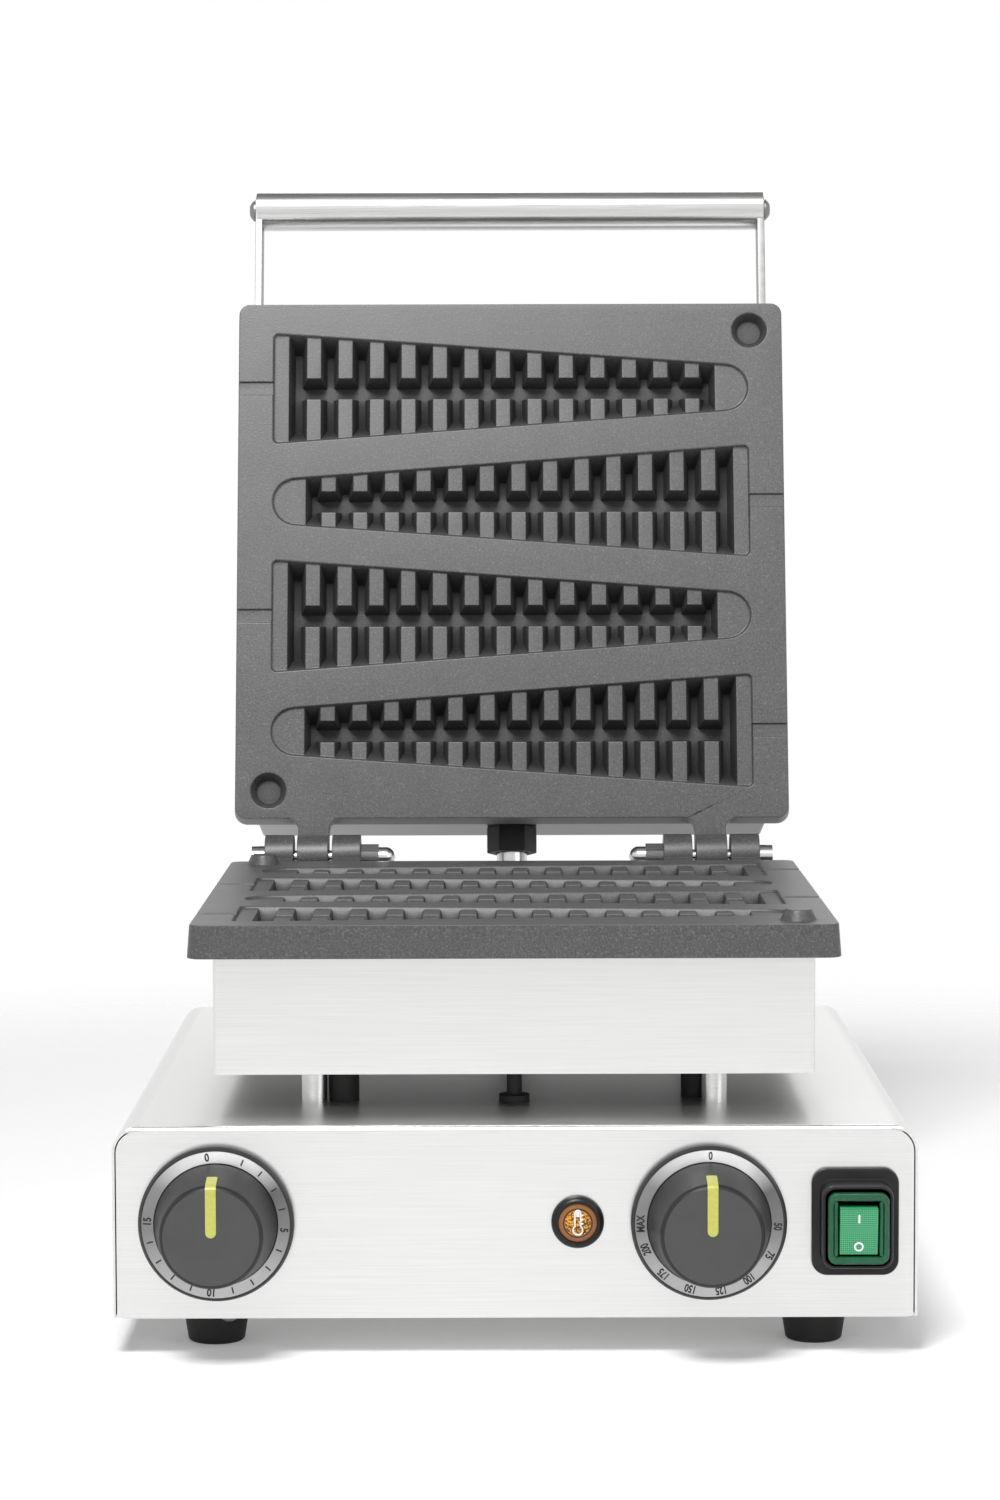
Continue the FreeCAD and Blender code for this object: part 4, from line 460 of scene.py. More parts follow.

# %% [markdown]
# ## Knob sides
# The sides of the knobs look darker than the face in the photograph. A second material would need the faces
# picked out. The normal already tells them apart, so the tone of the face gives way to a darker one where the
# surface turns away from the front. The darker sides are painted shade: they stand in for the dark
# reflections that the sides of the knobs take.

# %% Knob sides
SIDE_END, FACE_START = -0.955, -0.995
knob_plastic = plastics["dial_abs"]
face_tone = knob_plastic.node_tree.nodes["Principled BSDF"].inputs["Base Color"].links[0].from_node
place = add_node(knob_plastic, "ShaderNodeTexCoord")
facing = add_node(knob_plastic, "ShaderNodeSeparateXYZ", links={0: (place, "Normal")})
front = add_node(knob_plastic, "ShaderNodeMapRange", {"From Min": SIDE_END, "From Max": FACE_START},
                 {"Value": (facing, "Y")})
# Painted shade: the sides and the rounded edge of the knob get a darker tone than its face.
painted_side_shade = add_node(knob_plastic, "ShaderNodeMix", {COLOUR_A: linear("#2b2b2b")},
                {0: (front, 0), COLOUR_B: (face_tone, COLOUR)}, data_type="RGBA")
feed(knob_plastic, "Base Color", painted_side_shade, COLOUR)
print("knob plastic:", len(knob_plastic.node_tree.nodes), "nodes")

# %% [markdown]
# ## Dial ring
# The scale ring is thin anodised aluminium, turned on a lathe, so its brush lines run round it and the
# light fans out in bright and dark sectors. Anisotropy with a tangent that runs round the axis gives a
# part of that fan. A flat white room hides the rest, so a ramp over the angle draws it.

# %% Dial rings
RING_STOPS = ((0.0, "#f4f4f4"), (0.09, "#e6e6e6"), (0.17, "#6e6e6e"), (0.25, "#7c7c7c"), (0.36, "#b0b0b0"),
              (0.5, "#b6b6b6"), (0.64, "#adadad"), (0.74, "#838383"), (0.84, "#8f8f8f"), (0.92, "#dcdcdc"),
              (1.0, "#f4f4f4"))
FLECK_SIZE = 0.35 * MM


def ring_finish(name, dial):
    """Turned aluminium whose lines run round one dial's axis."""
    # Turned and anodised aluminium: silver, with sectors of light and shade like a fan.
    ring = new_finish(name, "#c3c3c2", metallic=1.0, roughness=0.3, anisotropic=0.7)
    feed(ring, "Tangent", add_node(ring, "ShaderNodeTangent", direction_type="RADIAL", axis="Y"), 0)
    place = add_node(ring, "ShaderNodeTexCoord")
    middle = dial.translation
    centred = add_node(ring, "ShaderNodeMapping", {"Location": (-middle.x, 0, -middle.z)},
                       {"Vector": (place, "Object")})
    apart = add_node(ring, "ShaderNodeSeparateXYZ", links={0: (centred, 0)})
    angle = add_node(ring, "ShaderNodeMath", links={0: (apart, "X"), 1: (apart, "Z")}, operation="ARCTAN2")
    turn = add_node(ring, "ShaderNodeMath", {1: 1 / (2 * math.pi)}, {0: (angle, 0)}, operation="MULTIPLY")
    share = add_node(ring, "ShaderNodeMath", links={0: (turn, 0)}, operation="FRACT")
    fan = add_node(ring, "ShaderNodeValToRGB", links={0: (share, 0)}, stops=RING_STOPS)
    fleck = add_node(ring, "ShaderNodeTexNoise", {"Scale": 1 / FLECK_SIZE, "Detail": 1.0},
                     {"Vector": (place, "Object")})
    shade = add_node(ring, "ShaderNodeMapRange", {"To Min": 0.88, "To Max": 1.0}, {"Value": (fleck, 0)})
    tone = add_node(ring, "ShaderNodeMix", {0: 1.0}, {COLOUR_A: (fan, 0), COLOUR_B: (shade, 0)},
                    data_type="RGBA", blend_type="MULTIPLY")
    feed(ring, "Base Color", tone, COLOUR)
    return ring


timer_ring = ring_finish("turned_ring_timer", TIMER)
thermostat_ring = ring_finish("turned_ring_thermostat", THERMOSTAT)
print("dial rings:", len(RING_STOPS), "stops round the axis")

# %% [markdown]
# ## Pointers and print
# The pointers are lime plastic bars pressed into the knobs. The dial numbers and the signs on the lamp
# and the switch are pad-printed ink, black or white. All are plain colours that are never quite even.

# %% Pointer and print
# Lime plastic: a clear yellow-green with a satin face.
pointer_paint = new_finish("lime_pointer", "#c4c662", roughness=0.4, ior=1.5)
mottle(pointer_paint, 1.2 * MM, 2.0, "#b9bc50", "#cfd070")
# Printing ink: flat and dense, black or white.
INKS = {"black_print": ("#0c0c0c", "#181818"), "white_print": ("#eef0f2", "#ffffff")}
prints = {}
for name, (dark, light) in INKS.items():
    prints[name] = new_finish(name, dark, roughness=0.5, ior=1.5)
    mottle(prints[name], 0.8 * MM, 2.0, dark, light)
print("pointer and", len(prints), "inks")

# %% [markdown]
# ## Lamp lens
# The pilot lamp has a clear amber dome over a faceted reflector. From outside it shows a brown ring, a
# thin dark line and a middle of bright facets. The distance from the lamp's axis picks the ring, and a
# cell pattern of about 0.7 mm draws the facets.

# %% Amber lens
LENS_RADIUS, FACET_SIZE, FACET_ZONE = 7.3 * MM, 0.72 * MM, 0.67
LENS_STOPS = ((0.0, "#f5ae2e"), (0.66, "#ee9f22"), (0.70, "#2c2620"), (0.76, "#352a20"), (0.80, "#9c6330"),
              (1.0, "#84501f"))
# Moulded polycarbonate: deep amber under a clear gloss, with a glitter of facets in the middle.
amber_lens = new_finish("amber_lens", "#d98a2a", roughness=0.16, ior=1.49)
place = add_node(amber_lens, "ShaderNodeTexCoord")
lamp_middle = LAMP.translation
centred = add_node(amber_lens, "ShaderNodeMapping", {"Location": (-lamp_middle.x, 0, -lamp_middle.z)},
                   {"Vector": (place, "Object")})
flat = add_node(amber_lens, "ShaderNodeVectorMath", {1: (1, 0, 1)}, {0: (centred, 0)}, operation="MULTIPLY")
radius = add_node(amber_lens, "ShaderNodeVectorMath", links={0: (flat, 0)}, operation="LENGTH")
reach = add_node(amber_lens, "ShaderNodeMapRange", {"From Min": 0.0, "From Max": LENS_RADIUS},
                 {"Value": (radius, "Value")})
zones = add_node(amber_lens, "ShaderNodeValToRGB", links={0: (reach, 0)}, stops=LENS_STOPS)
facets = add_node(amber_lens, "ShaderNodeTexVoronoi", {"Scale": 1 / FACET_SIZE}, {"Vector": (flat, 0)})
dark_gap = add_node(amber_lens, "ShaderNodeMapRange", {"From Min": 0.36, "From Max": 0.62},
                    {"Value": (facets, "Distance")})
inside = add_node(amber_lens, "ShaderNodeMath", {1: FACET_ZONE}, {0: (reach, 0)}, operation="LESS_THAN")
gap_share = add_node(amber_lens, "ShaderNodeMath", links={0: (dark_gap, 0), 1: (inside, 0)},
                     operation="MULTIPLY")
tone = add_node(amber_lens, "ShaderNodeMix", {COLOUR_B: linear("#52310f")},
                {0: (gap_share, 0), COLOUR_A: (zones, 0)}, data_type="RGBA")
feed(amber_lens, "Base Color", tone, COLOUR)
print("lens facets", FACET_SIZE / MM, "mm")

# %% [markdown]
# ## Switch
# The rocker is clear green plastic with a fine grid moulded behind its face, under a soft clear boot.
# The position is counted in squares of about 0.75 mm. The part after the point says where in its square
# a spot lies, and the tone goes from pale in the middle of the square to green at its edges. The boot
# lets some light through.

# %% Green rocker
GRID_SIZE = 0.75 * MM
SQUARE_MIDDLE = 0.5
# Moulded polycarbonate: a saturated green under a clear gloss, with a pale dot in every square.
rocker_green = new_finish("green_rocker", "#0c8a52", roughness=0.28, ior=1.5, coat_weight=0.3)
place = add_node(rocker_green, "ShaderNodeTexCoord")
squares = add_node(rocker_green, "ShaderNodeVectorMath", {1: (1 / GRID_SIZE,) * 3}, {0: (place, "Object")},
                   operation="MULTIPLY")
square = add_node(rocker_green, "ShaderNodeVectorMath", links={0: (squares, 0)}, operation="FRACTION")
apart = add_node(rocker_green, "ShaderNodeSeparateXYZ", links={0: (square, 0)})
offsets = []
for axis in ("X", "Z"):
    offset = add_node(rocker_green, "ShaderNodeMath", {1: SQUARE_MIDDLE}, {0: (apart, axis)},
                      operation="SUBTRACT")
    offsets.append(add_node(rocker_green, "ShaderNodeMath", links={0: (offset, 0)}, operation="ABSOLUTE"))
edge = add_node(rocker_green, "ShaderNodeMath", links={0: (offsets[0], 0), 1: (offsets[1], 0)},
                operation="MAXIMUM")
line = add_node(rocker_green, "ShaderNodeMapRange", {"From Min": 0.16, "From Max": 0.3}, {"Value": (edge, 0)})
tone = add_node(rocker_green, "ShaderNodeMix", {COLOUR_A: linear("#74d2a4"), COLOUR_B: linear("#0a8a52")},
                {0: (line, 0)}, data_type="RGBA")
feed(rocker_green, "Base Color", tone, COLOUR)
print("rocker grid", GRID_SIZE / MM, "mm")

# %% Clear boot
# Clear silicone or soft vinyl: tinted by what lies behind it, with a wet shine.
boot_green = new_finish("clear_green_boot", "#1f7a50", roughness=0.22, ior=1.45, transmission_weight=0.55)
mottle(boot_green, 5 * MM, 2.0, "#1d7049", "#2f8f62")
print("boot:", len(boot_green.node_tree.nodes), "nodes")

# %% [markdown]
# ## Dress the CAD nodes
# Each CAD node keeps its shape and takes the finish of what it is made of. A list of finishes, with the
# nodes that wear them, is easier to check against the machine than sixty single lines.

# %% Finish for each CAD node
corners = [f"{end}_{side}" for end in ("front", "rear") for side in ("left", "right")]
WEARS = [
    (brushed_sheet, ["base_housing", "base_bottom_plate", "lower_box", "lid_box"]),
    (coated_casting, ["lower_plate", "upper_plate"]),
    (plastics["moulded_rubber"], [f"foot_{corner}" for corner in corners] + [
        "wire_sleeve_left", "wire_sleeve_right", "sensor_sleeve", "sensor_grommet"]),
    (polished_bar, [f"post_{corner}" for corner in corners] + [
        "handle_bar", "timer_shaft", "thermostat_shaft", "conduit_bush", "conduit_hose", "hinge_bolts",
        "hinge_nuts", "hinge_cap_nuts"]),
    (rolled_strip, [
        "foot_screws", "cover_screws", "post_bolts", "lower_clamp_bolts", "upper_clamp_bolts", "lid_screws",
        "handle_screws", "arm_screws", "handle_arm_left", "handle_arm_right", "lower_clamp", "upper_clamp"]),
    (heater_tube, ["lower_heater", "upper_heater"]),
    (drawn_copper, ["thermostat_capillary"]),
    (plastics["dial_abs"], ["timer_knob", "thermostat_knob"]),
    (plastics["bezel_abs"], ["timer_bezel", "thermostat_bezel"]),
    (plastics["lamp_ring_nylon"], ["lamp_bezel"]),
    (timer_ring, ["timer_dial"]),
    (thermostat_ring, ["thermostat_dial"]),
    (pointer_paint, ["timer_pointer", "thermostat_pointer"]),
    (amber_lens, ["lamp_lens"]),
    (plastics["control_case"], [
        "timer_body", "thermostat_body", "lamp_body", "switch_body", "mains_gland", "conduit_nut"]),
    (plastics["switch_nylon"], ["switch_frame"]),
    (boot_green, ["switch_boot"]),
    (rocker_green, ["switch_rocker"]),
]
dressed = 0
for finish, names in WEARS:
    for name in names:
        node_mesh = nodes[name].data
        node_mesh.materials.clear()
        node_mesh.materials.append(finish)
        dressed += 1
print("finishes given to", dressed, "of", len(nodes), "nodes")

# %% [markdown]
# ## Softened edges
# Cast, moulded and folded pieces never have knife edges, and a small round is what catches the light
# along every tooth of these plates. A copy of the CAD mesh is welded, its flat triangles are joined into
# whole faces, and a Bevel modifier rounds the sharp edges by a stated radius. The faces are then cut into
# well-shaped triangles, and a Weighted Normal modifier keeps the large flats looking flat beside the
# rounds. The copy stands for the node.

# %% Copies of CAD nodes, and pieces that stand for them
WELD = 0.002 * MM
FLAT_ANGLE = math.radians(0.05)


def choose(*pieces):
    """Leaves edit mode and selects only these pieces, the first one active."""
    if bpy.context.object and bpy.context.object.mode != "OBJECT":
        bpy.ops.object.mode_set(mode="OBJECT")
    bpy.ops.object.select_all(action="DESELECT")
    for piece in pieces:
        piece.select_set(True)
    bpy.context.view_layer.objects.active = pieces[0]


def node_copy(node):
    """A copy of a CAD node with its triangles welded and its flat faces whole."""
    piece = nodes[node].copy()
    piece.data = nodes[node].data.copy()
    piece.parent = None
    piece.matrix_world = Matrix.Identity(4)
    bpy.context.collection.objects.link(piece)
    choose(piece)
    if piece.data.has_custom_normals:
        bpy.ops.mesh.customdata_custom_splitnormals_clear()
    bpy.ops.object.mode_set(mode="EDIT")
    bpy.ops.mesh.select_all(action="SELECT")
    bpy.ops.mesh.remove_doubles(threshold=WELD)
    bpy.ops.mesh.dissolve_limited(angle_limit=FLAT_ANGLE)
    bpy.ops.object.mode_set(mode="OBJECT")
    return piece


def stand_for(piece, node, ending):
    """Names a piece after a CAD node, and puts it in the node's place."""
    piece.name = f"{node}_{ending}"
    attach(piece, next(body for body, names in record["behaviour"]["bodies"].items() if node in names))
    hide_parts(node)


# %% Round the edges of cast, moulded and bent pieces
SHARP_ANGLE = math.radians(32)
ROUND_SEGMENTS = 2
SLIVER = 0.003 * MM
EDGE_ROUNDS = {
    "lower_plate": 0.45 * MM,
    "upper_plate": 0.45 * MM,
    "switch_frame": 1.0 * MM,
    "switch_boot": 1.0 * MM,
    "switch_rocker": 0.35 * MM,
    "handle_arm_left": 0.4 * MM,
    "handle_arm_right": 0.4 * MM,
    "conduit_nut": 0.6 * MM,
}
for node, radius in EDGE_ROUNDS.items():
    softened = node_copy(node)
    bevel = softened.modifiers.new("edge_round", "BEVEL")
    bevel.width = radius
    bevel.segments = ROUND_SEGMENTS
    bevel.limit_method = "ANGLE"
    bevel.angle_limit = SHARP_ANGLE
    bevel.use_clamp_overlap = False
    bevel.miter_outer = "MITER_ARC"
    bpy.ops.object.modifier_apply(modifier=bevel.name)
    bpy.ops.object.mode_set(mode="EDIT")
    bpy.ops.mesh.select_all(action="SELECT")
    bpy.ops.mesh.dissolve_degenerate(threshold=SLIVER)
    bpy.ops.mesh.quads_convert_to_tris(quad_method="BEAUTY", ngon_method="BEAUTY")
    bpy.ops.object.mode_set(mode="OBJECT")
    bpy.ops.object.shade_smooth_by_angle(angle=SHARP_ANGLE)
    flatten = softened.modifiers.new("flat_faces", "WEIGHTED_NORMAL")
    flatten.keep_sharp = True
    bpy.ops.object.modifier_apply(modifier=flatten.name)
    stand_for(softened, node, "soft")
    print(node, "softened,", len(softened.data.polygons), "faces")

# %% [markdown]
# ## Dial marks
# The rings carry plain printed numbers with their tops outwards, and the timer a tick for each minute
# between. A number is a text object that is made a mesh, because text that is only turned would lose its
# place in the export. A tick is a thin bar with rounded corners, modelled once and copied. All of them are
# stood on the ring at their angles and joined into one piece for each dial.

# %% Tools for printed marks
MARK_THICKNESS = 0.05 * MM
CAPITAL_SHARE = 0.7
INK_SPREAD = 0.05
TICK_ROUND = 0.25
TICK_SEGMENTS = 3


def settle(piece, place):
    """Puts a piece that was modelled flat at its place, and writes the place into its mesh."""
    choose(piece)
    piece.matrix_world = place @ piece.matrix_world
    bpy.ops.object.transform_apply(location=True, rotation=True, scale=True)


def placed_copy(model, place):
    """A copy of a piece, with a mesh of its own, settled at a place."""
    copy = model.copy()
    copy.data = model.data.copy()
    bpy.context.collection.objects.link(copy)
    settle(copy, place)
    return copy


def printed_word(word, place, height, stretch):
    """A flat printed word, centred on a place."""
    bpy.ops.object.select_all(action="DESELECT")
    bpy.ops.object.text_add(location=(0, 0, 0))
    text = bpy.context.object
    text.data.body = word
    text.data.align_x = "CENTER"
    text.data.align_y = "CENTER"
    text.data.size = height / CAPITAL_SHARE
    text.data.extrude = MARK_THICKNESS / 2
    text.data.offset = INK_SPREAD * height
    text.scale = (stretch, 1, 1)
    bpy.ops.object.convert(target="MESH")
    bpy.ops.object.mode_set(mode="EDIT")
    bpy.ops.mesh.select_all(action="SELECT")
    bpy.ops.mesh.remove_doubles(threshold=WELD)
    bpy.ops.mesh.normals_make_consistent(inside=False)
    bpy.ops.object.mode_set(mode="OBJECT")
    settle(bpy.context.object, place)
    return bpy.context.object


def printed_tick(width, length):
    """A flat printed tick with its four upright edges rounded, lying at the origin."""
    bpy.ops.object.select_all(action="DESELECT")
    bpy.ops.mesh.primitive_cube_add(size=1)
    tick = bpy.context.object
    tick.scale = (width, length, MARK_THICKNESS)
    bpy.ops.object.transform_apply(scale=True)
    bpy.ops.object.mode_set(mode="EDIT")
    bpy.ops.mesh.select_mode(type="EDGE")
    bpy.ops.mesh.select_all(action="DESELECT")
    bpy.ops.object.mode_set(mode="OBJECT")
    for edge in tick.data.edges:
        first, last = (tick.data.vertices[end].co.z for end in edge.vertices)
        edge.select = first != last
    bpy.ops.object.mode_set(mode="EDIT")
    bpy.ops.mesh.bevel(offset=TICK_ROUND * width, segments=TICK_SEGMENTS, affect="EDGES")
    bpy.ops.object.mode_set(mode="OBJECT")
    return tick


def join_marks(name, marks, finish, body):
    """Joins marks into one piece that rides on a body."""
    choose(*marks)
    bpy.ops.object.join()
    piece = bpy.context.object
    piece.name = name
    piece.data.materials.clear()
    piece.data.materials.append(finish)
    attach(piece, body)
    print(name, "joined from", len(marks), "marks")


# %% Numbers and ticks on the dial rings
RING_TOP = 5.0 * MM
MARK_RADIUS = 25.75 * MM
DIGIT_HEIGHT = 2.9 * MM
TIMER_STRETCH, THERMOSTAT_STRETCH = 0.82, 0.72
TICK_WIDTH, TICK_LENGTH = 0.6 * MM, 2.5 * MM
MINUTES, NUMBERED, MINUTE_DEGREES, FIRST_MINUTE = 15, 5, 17.85, 5.3
TIMER_WORDS = {"0": -7.0, "5": 94.5, "10": 184.0, "15": 273.0}
THERMOSTAT_WORDS = {"0": 1.0, "50": 92.5, "75": 118.0, "100": 144.5, "125": 170.0, "150": 196.0, "175": 222.0,
                    "200": 248.0, "MAX": 270.0}


def ring_place(dial, degrees):
    """A place on a dial's ring, at an angle clockwise from the top, with its own y outwards."""
    turn = Matrix.Rotation(-math.radians(degrees), 4, "Z")
    return dial @ turn @ Matrix.Translation((0, MARK_RADIUS, RING_TOP))


timer_marks = [printed_word(word, ring_place(TIMER, degrees), DIGIT_HEIGHT, TIMER_STRETCH)
               for word, degrees in TIMER_WORDS.items()]
minute_tick = printed_tick(TICK_WIDTH, TICK_LENGTH)
for minute in range(1, MINUTES):
    if minute % NUMBERED:
        degrees = FIRST_MINUTE + MINUTE_DEGREES * minute
        timer_marks.append(placed_copy(minute_tick, ring_place(TIMER, degrees)))
bpy.data.objects.remove(minute_tick)
join_marks("timer_marks", timer_marks, prints["black_print"], "base")

thermostat_marks = [printed_word(word, ring_place(THERMOSTAT, degrees), DIGIT_HEIGHT, THERMOSTAT_STRETCH)
                    for word, degrees in THERMOSTAT_WORDS.items()]
join_marks("thermostat_marks", thermostat_marks, prints["black_print"], "base")

# %% [markdown]
# ## Thermometer sign on the lamp
# The lens carries a plain white outline of a thermometer with three short scale strokes, and its upper end
# is filled with white. Flat print would sink into the dome or float over it. So each stroke is a curve
# with a round section, and its points lie on the lens's dome, so that half of its thickness shows.

# %% Strokes that follow the dome, with sizes in mm
STROKE = 0.31
STROKE_ROUNDNESS = 2
LENS_TOP, LENS_SIDE, LENS_EDGE, LENS_FLAT, LENS_CURVE = 4.2, 2.8, 7.3, 1.2, 1.55


def lens_height(distance):
    """The height of the lens's dome at a distance from its axis."""
    drop = max(distance - LENS_FLAT, 0) / (LENS_EDGE - LENS_FLAT)
    return LENS_TOP - (LENS_TOP - LENS_SIDE) * drop ** LENS_CURVE


def new_curve(kind, points, radius, roundness):
    """A tube of a radius through points, with closed ends, as a curve that is still to be shaped."""
    bpy.ops.object.select_all(action="DESELECT")
    bpy.ops.curve.primitive_nurbs_path_add()
    curve = bpy.context.object
    curve.data.splines.clear()
    spline = curve.data.splines.new(kind)
    spline.points.add(len(points) - 1)
    for knot, spot in zip(spline.points, points):
        knot.co = (*spot, 1)
    curve.data.bevel_depth = radius
    curve.data.bevel_resolution = roundness
    curve.data.use_fill_caps = True
    return curve, spline


def stroke(points, closed=False):
    """A round stroke through points on the lamp's face, as a mesh in its place."""
    domed = [(x * MM, y * MM, lens_height(math.hypot(x, y)) * MM) for x, y in points]
    spline = new_curve("POLY", domed, STROKE * MM, STROKE_ROUNDNESS)[1]
    spline.use_cyclic_u = closed
    bpy.ops.object.convert(target="MESH")
    settle(bpy.context.object, LAMP)
    return bpy.context.object


# %% Thermometer sign, with sizes in mm
BULB_Y, BULB_RADIUS, BULB_STEPS = -2.55, 1.84, 24
TUBE_HALF, TUBE_TOP, TUBE_STEPS = 1.06, 3.83, 12
SCALE_HEIGHTS, SCALE_START, SCALE_END = (3.1, 1.46, -0.04), 1.26, 2.1
CAP_HALF, CAP_TOP, CAP_STEP, CAP_STROKES = 0.6, 4.13, 0.45, 4
neck = math.asin(TUBE_HALF / BULB_RADIUS)
neck_y = BULB_Y + BULB_RADIUS * math.cos(neck)
outline = []
for step in range(BULB_STEPS + 1):
    angle = math.pi / 2 + neck + (2 * math.pi - 2 * neck) * step / BULB_STEPS
    outline.append((BULB_RADIUS * math.cos(angle), BULB_Y + BULB_RADIUS * math.sin(angle)))
for step in range(1, TUBE_STEPS):
    outline.append((TUBE_HALF, neck_y + (TUBE_TOP - neck_y) * step / TUBE_STEPS))
for step in range(TUBE_STEPS + 1):
    angle = math.pi * step / TUBE_STEPS
    outline.append((TUBE_HALF * math.cos(angle), TUBE_TOP + TUBE_HALF * math.sin(angle)))
for step in range(1, TUBE_STEPS):
    outline.append((-TUBE_HALF, TUBE_TOP + (neck_y - TUBE_TOP) * step / TUBE_STEPS))
strokes = [stroke(outline, closed=True)]
for level in SCALE_HEIGHTS:
    strokes.append(stroke([(SCALE_START, level), (SCALE_END, level)]))
for step in range(CAP_STROKES):
    level = CAP_TOP - CAP_STEP * step
    strokes.append(stroke([(-CAP_HALF, level), (CAP_HALF, level)]))
join_marks("lamp_thermometer", strokes, prints["white_print"], "base")

# %% [markdown]
# ## I and O on the rocker
# The rocker's face has a white stroke at the end that switches on and a ring at the end that switches
# off. The stroke is a tick like those of the timer. The ring is a disc, inset by its line width, with the
# middle taken out and the rest drawn up to the thickness of print.

# %% Rocker marks
ROCKER_FACE = 6.6 * MM
ON_WIDTH, ON_LENGTH, ON_Y = 0.75 * MM, 3.3 * MM, 5.1 * MM
OFF_RADIUS, OFF_WIDTH, OFF_Y, OFF_CORNERS = 1.84 * MM, 0.68 * MM, -5.8 * MM, 48
on_mark = printed_tick(ON_WIDTH, ON_LENGTH)
settle(on_mark, ROCKER @ Matrix.Translation((0, ON_Y, ROCKER_FACE)))
bpy.ops.object.select_all(action="DESELECT")
bpy.ops.mesh.primitive_circle_add(vertices=OFF_CORNERS, radius=OFF_RADIUS, fill_type="NGON")
off_mark = bpy.context.object
bpy.ops.object.mode_set(mode="EDIT")
bpy.ops.mesh.select_mode(type="FACE")
bpy.ops.mesh.select_all(action="SELECT")
bpy.ops.mesh.inset(thickness=OFF_WIDTH)
bpy.ops.mesh.delete(type="FACE")
bpy.ops.mesh.select_all(action="SELECT")
bpy.ops.mesh.extrude_region_move(TRANSFORM_OT_translate={"value": (0, 0, MARK_THICKNESS)})
bpy.ops.mesh.select_all(action="SELECT")
bpy.ops.mesh.normals_make_consistent(inside=False)
bpy.ops.object.mode_set(mode="OBJECT")
settle(off_mark, ROCKER @ Matrix.Translation((0, OFF_Y, ROCKER_FACE)))
join_marks("rocker_marks", [on_mark, off_mark], prints["white_print"], "rocker")

# %% [markdown]
# ## Lips of the boot
# The clear boot is folded in close to the rocker's sides. Two rounded bars stand for the fold: a cube is
# stretched, its edges are rounded, and a copy goes to each side.

# %% Boot lips
LIP_IN, LIP_OUT = 7.75 * MM, 9.25 * MM
LIP_LOW, LIP_HIGH = 13.4 * MM, 16.7 * MM
LIP_LENGTH, LIP_ROUND, LIP_SEGMENTS = 20.6 * MM, 0.5 * MM, 3
SOFT_ANGLE = math.radians(40)
SWITCH = on_panel(middle_x("switch_boot"))
bpy.ops.object.select_all(action="DESELECT")
bpy.ops.mesh.primitive_cube_add(size=1)
first_lip = bpy.context.object
first_lip.scale = (LIP_OUT - LIP_IN, LIP_LENGTH, LIP_HIGH - LIP_LOW)
bpy.ops.object.transform_apply(scale=True)
bpy.ops.object.mode_set(mode="EDIT")
bpy.ops.mesh.select_all(action="SELECT")
bpy.ops.mesh.bevel(offset=LIP_ROUND, segments=LIP_SEGMENTS, affect="EDGES", clamp_overlap=True)
bpy.ops.object.mode_set(mode="OBJECT")
bpy.ops.object.shade_smooth_by_angle(angle=SOFT_ANGLE)
lip_x, lip_z = (LIP_IN + LIP_OUT) / 2, (LIP_LOW + LIP_HIGH) / 2
lips = [placed_copy(first_lip, SWITCH @ Matrix.Translation((side * lip_x, 0, lip_z))) for side in (-1, 1)]
bpy.data.objects.remove(first_lip)
join_marks("boot_lips", lips, boot_green, "base")

# %% [markdown]
# ## Cross recesses
# The screws of the lid and the handle are driven with a cross bit. A bump in the finish would look flat
# from the side, so the recess is cut: one tapered cross is modelled as a punch, a copy is set on each
# head, and a Boolean modifier takes it out. The work is done in the closed lid's frame, where every screw
# points straight up or straight out.

# %% The punch
BLADE_WIDTH, PUNCH_DEPTH, PUNCH_TAPER = 1.0 * MM, 1.7 * MM, 0.45


def boolean(piece, tool, operation):
    """Joins a tool to a piece or cuts it out, and removes the tool."""
    cut = piece.modifiers.new("cut", "BOOLEAN")
    cut.operation = operation
    cut.object = tool
    choose(piece)
    bpy.ops.object.modifier_apply(modifier=cut.name)
    bpy.data.objects.remove(tool)


def cross_punch(span):
    """A cross that tapers downwards, with its middle at the origin."""
    bpy.ops.object.select_all(action="DESELECT")
    bpy.ops.mesh.primitive_cube_add(size=1)
    blade = bpy.context.object
    blade.scale = (span, BLADE_WIDTH, 2 * PUNCH_DEPTH)
    bpy.ops.object.transform_apply(scale=True)
    bpy.ops.object.mode_set(mode="EDIT")
    bpy.ops.mesh.select_mode(type="FACE")
    bpy.ops.mesh.select_all(action="DESELECT")
    bpy.ops.object.mode_set(mode="OBJECT")
    for face in blade.data.polygons:
        face.select = face.normal.z < -0.5
    bpy.ops.object.mode_set(mode="EDIT")
    bpy.ops.transform.resize(value=(PUNCH_TAPER, PUNCH_TAPER, 1))
    bpy.ops.object.mode_set(mode="OBJECT")
    boolean(blade, placed_copy(blade, Matrix.Rotation(QUARTER, 4, "Z")), "UNION")
    return blade


# %% Cross recesses in the screws of the lid
PUNCH_SPANS = {"lid_screws": 5.2 * MM, "handle_screws": 5.2 * MM, "arm_screws": 4.2 * MM}


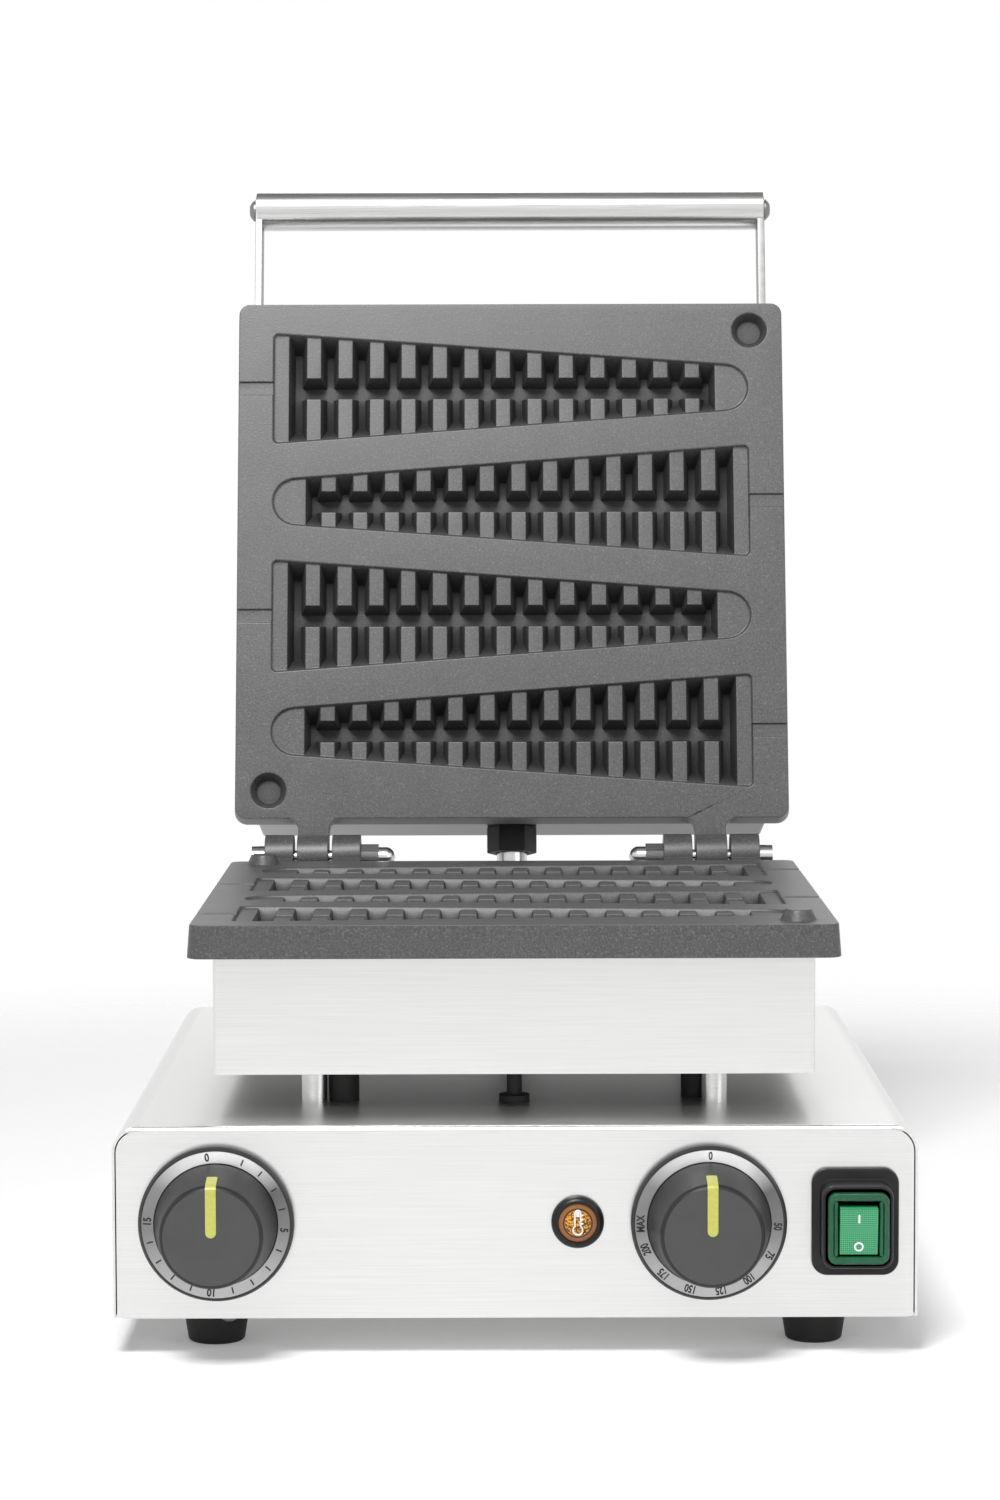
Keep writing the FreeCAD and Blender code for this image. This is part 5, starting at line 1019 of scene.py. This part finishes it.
def head_place(screw):
    """The place of a screw's head in the closed lid's frame: on the lid's top, or at one of its sides."""
    corners = [Vector(corner) for corner in screw.bound_box]
    middle = sum(corners, Vector()) / len(corners)
    size = corners[6] - corners[0]
    if size.z > size.x:
        return Matrix.Translation((middle.x, middle.y, max(corner.z for corner in corners)))
    side = math.copysign(1, middle.x)
    reach = side * max(side * corner.x for corner in corners)
    return Matrix.Translation((reach, middle.y, middle.z)) @ Matrix.Rotation(side * QUARTER, 4, "Y")


for node, span in PUNCH_SPANS.items():
    screw_set = node_copy(node)
    settle(screw_set, LID.inverted())
    bpy.ops.mesh.separate(type="LOOSE")
    screws = list(bpy.context.selected_objects)
    punch = cross_punch(span)
    for screw in screws:
        boolean(screw, placed_copy(punch, head_place(screw)), "DIFFERENCE")
    bpy.data.objects.remove(punch)
    choose(*screws)
    bpy.ops.object.join()
    screw_set = bpy.context.object
    settle(screw_set, LID)
    bpy.ops.object.shade_smooth_by_angle(angle=SHARP_ANGLE)
    stand_for(screw_set, node, "recess_painted_shade")
    print(node, "recessed,", len(screws), "heads,", len(screw_set.data.polygons), "faces")

# %% [markdown]
# ## Hose
# A bright metal hose carries the lid's wires down into the base. It is fixed in the lid's nut and slides in
# the bush on the base. A smooth curve gives its line: it rises from the bush, at the lowest point of the CAD
# tube, and turns into the nut of the open lid.

# %% Hose between the base and the lid
HOSE_RADIUS, HOSE_ROUNDNESS = 7.0 * MM, 8
NUT_Y, NUT_Z = -18.8 * MM, 38.4 * MM
bush_low, bush_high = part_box("conduit_bush")
bush_y = (bush_low[1] + bush_high[1]) / 2
hose_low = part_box("conduit_hose")[0][2]
nut_end = LID @ Vector((0, NUT_Y, NUT_Z))
outward = LID.to_3x3() @ Vector((0, 1, 0))
corner = nut_end + outward * ((bush_y - nut_end.y) / outward.y)
route = [Vector((0, bush_y, hose_low)), Vector((0, bush_y, (hose_low + corner.z) / 2)), corner,
         nut_end.lerp(corner, 0.5), nut_end]
hose, spline = new_curve("NURBS", route, HOSE_RADIUS, HOSE_ROUNDNESS)
hose.name = "lid_hose"
spline.order_u = 3
spline.use_endpoint_u = True
spline.resolution_u = 10
bpy.ops.object.convert(target="MESH")
hose = bpy.context.object
settle(hose, Matrix.Identity(4))
bpy.ops.object.shade_smooth_by_angle(angle=SOFT_ANGLE)
hose.data.materials.clear()
hose.data.materials.append(polished_bar)
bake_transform(hose)
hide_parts("conduit_hose")
print("hose of", len(hose.data.polygons), "faces")
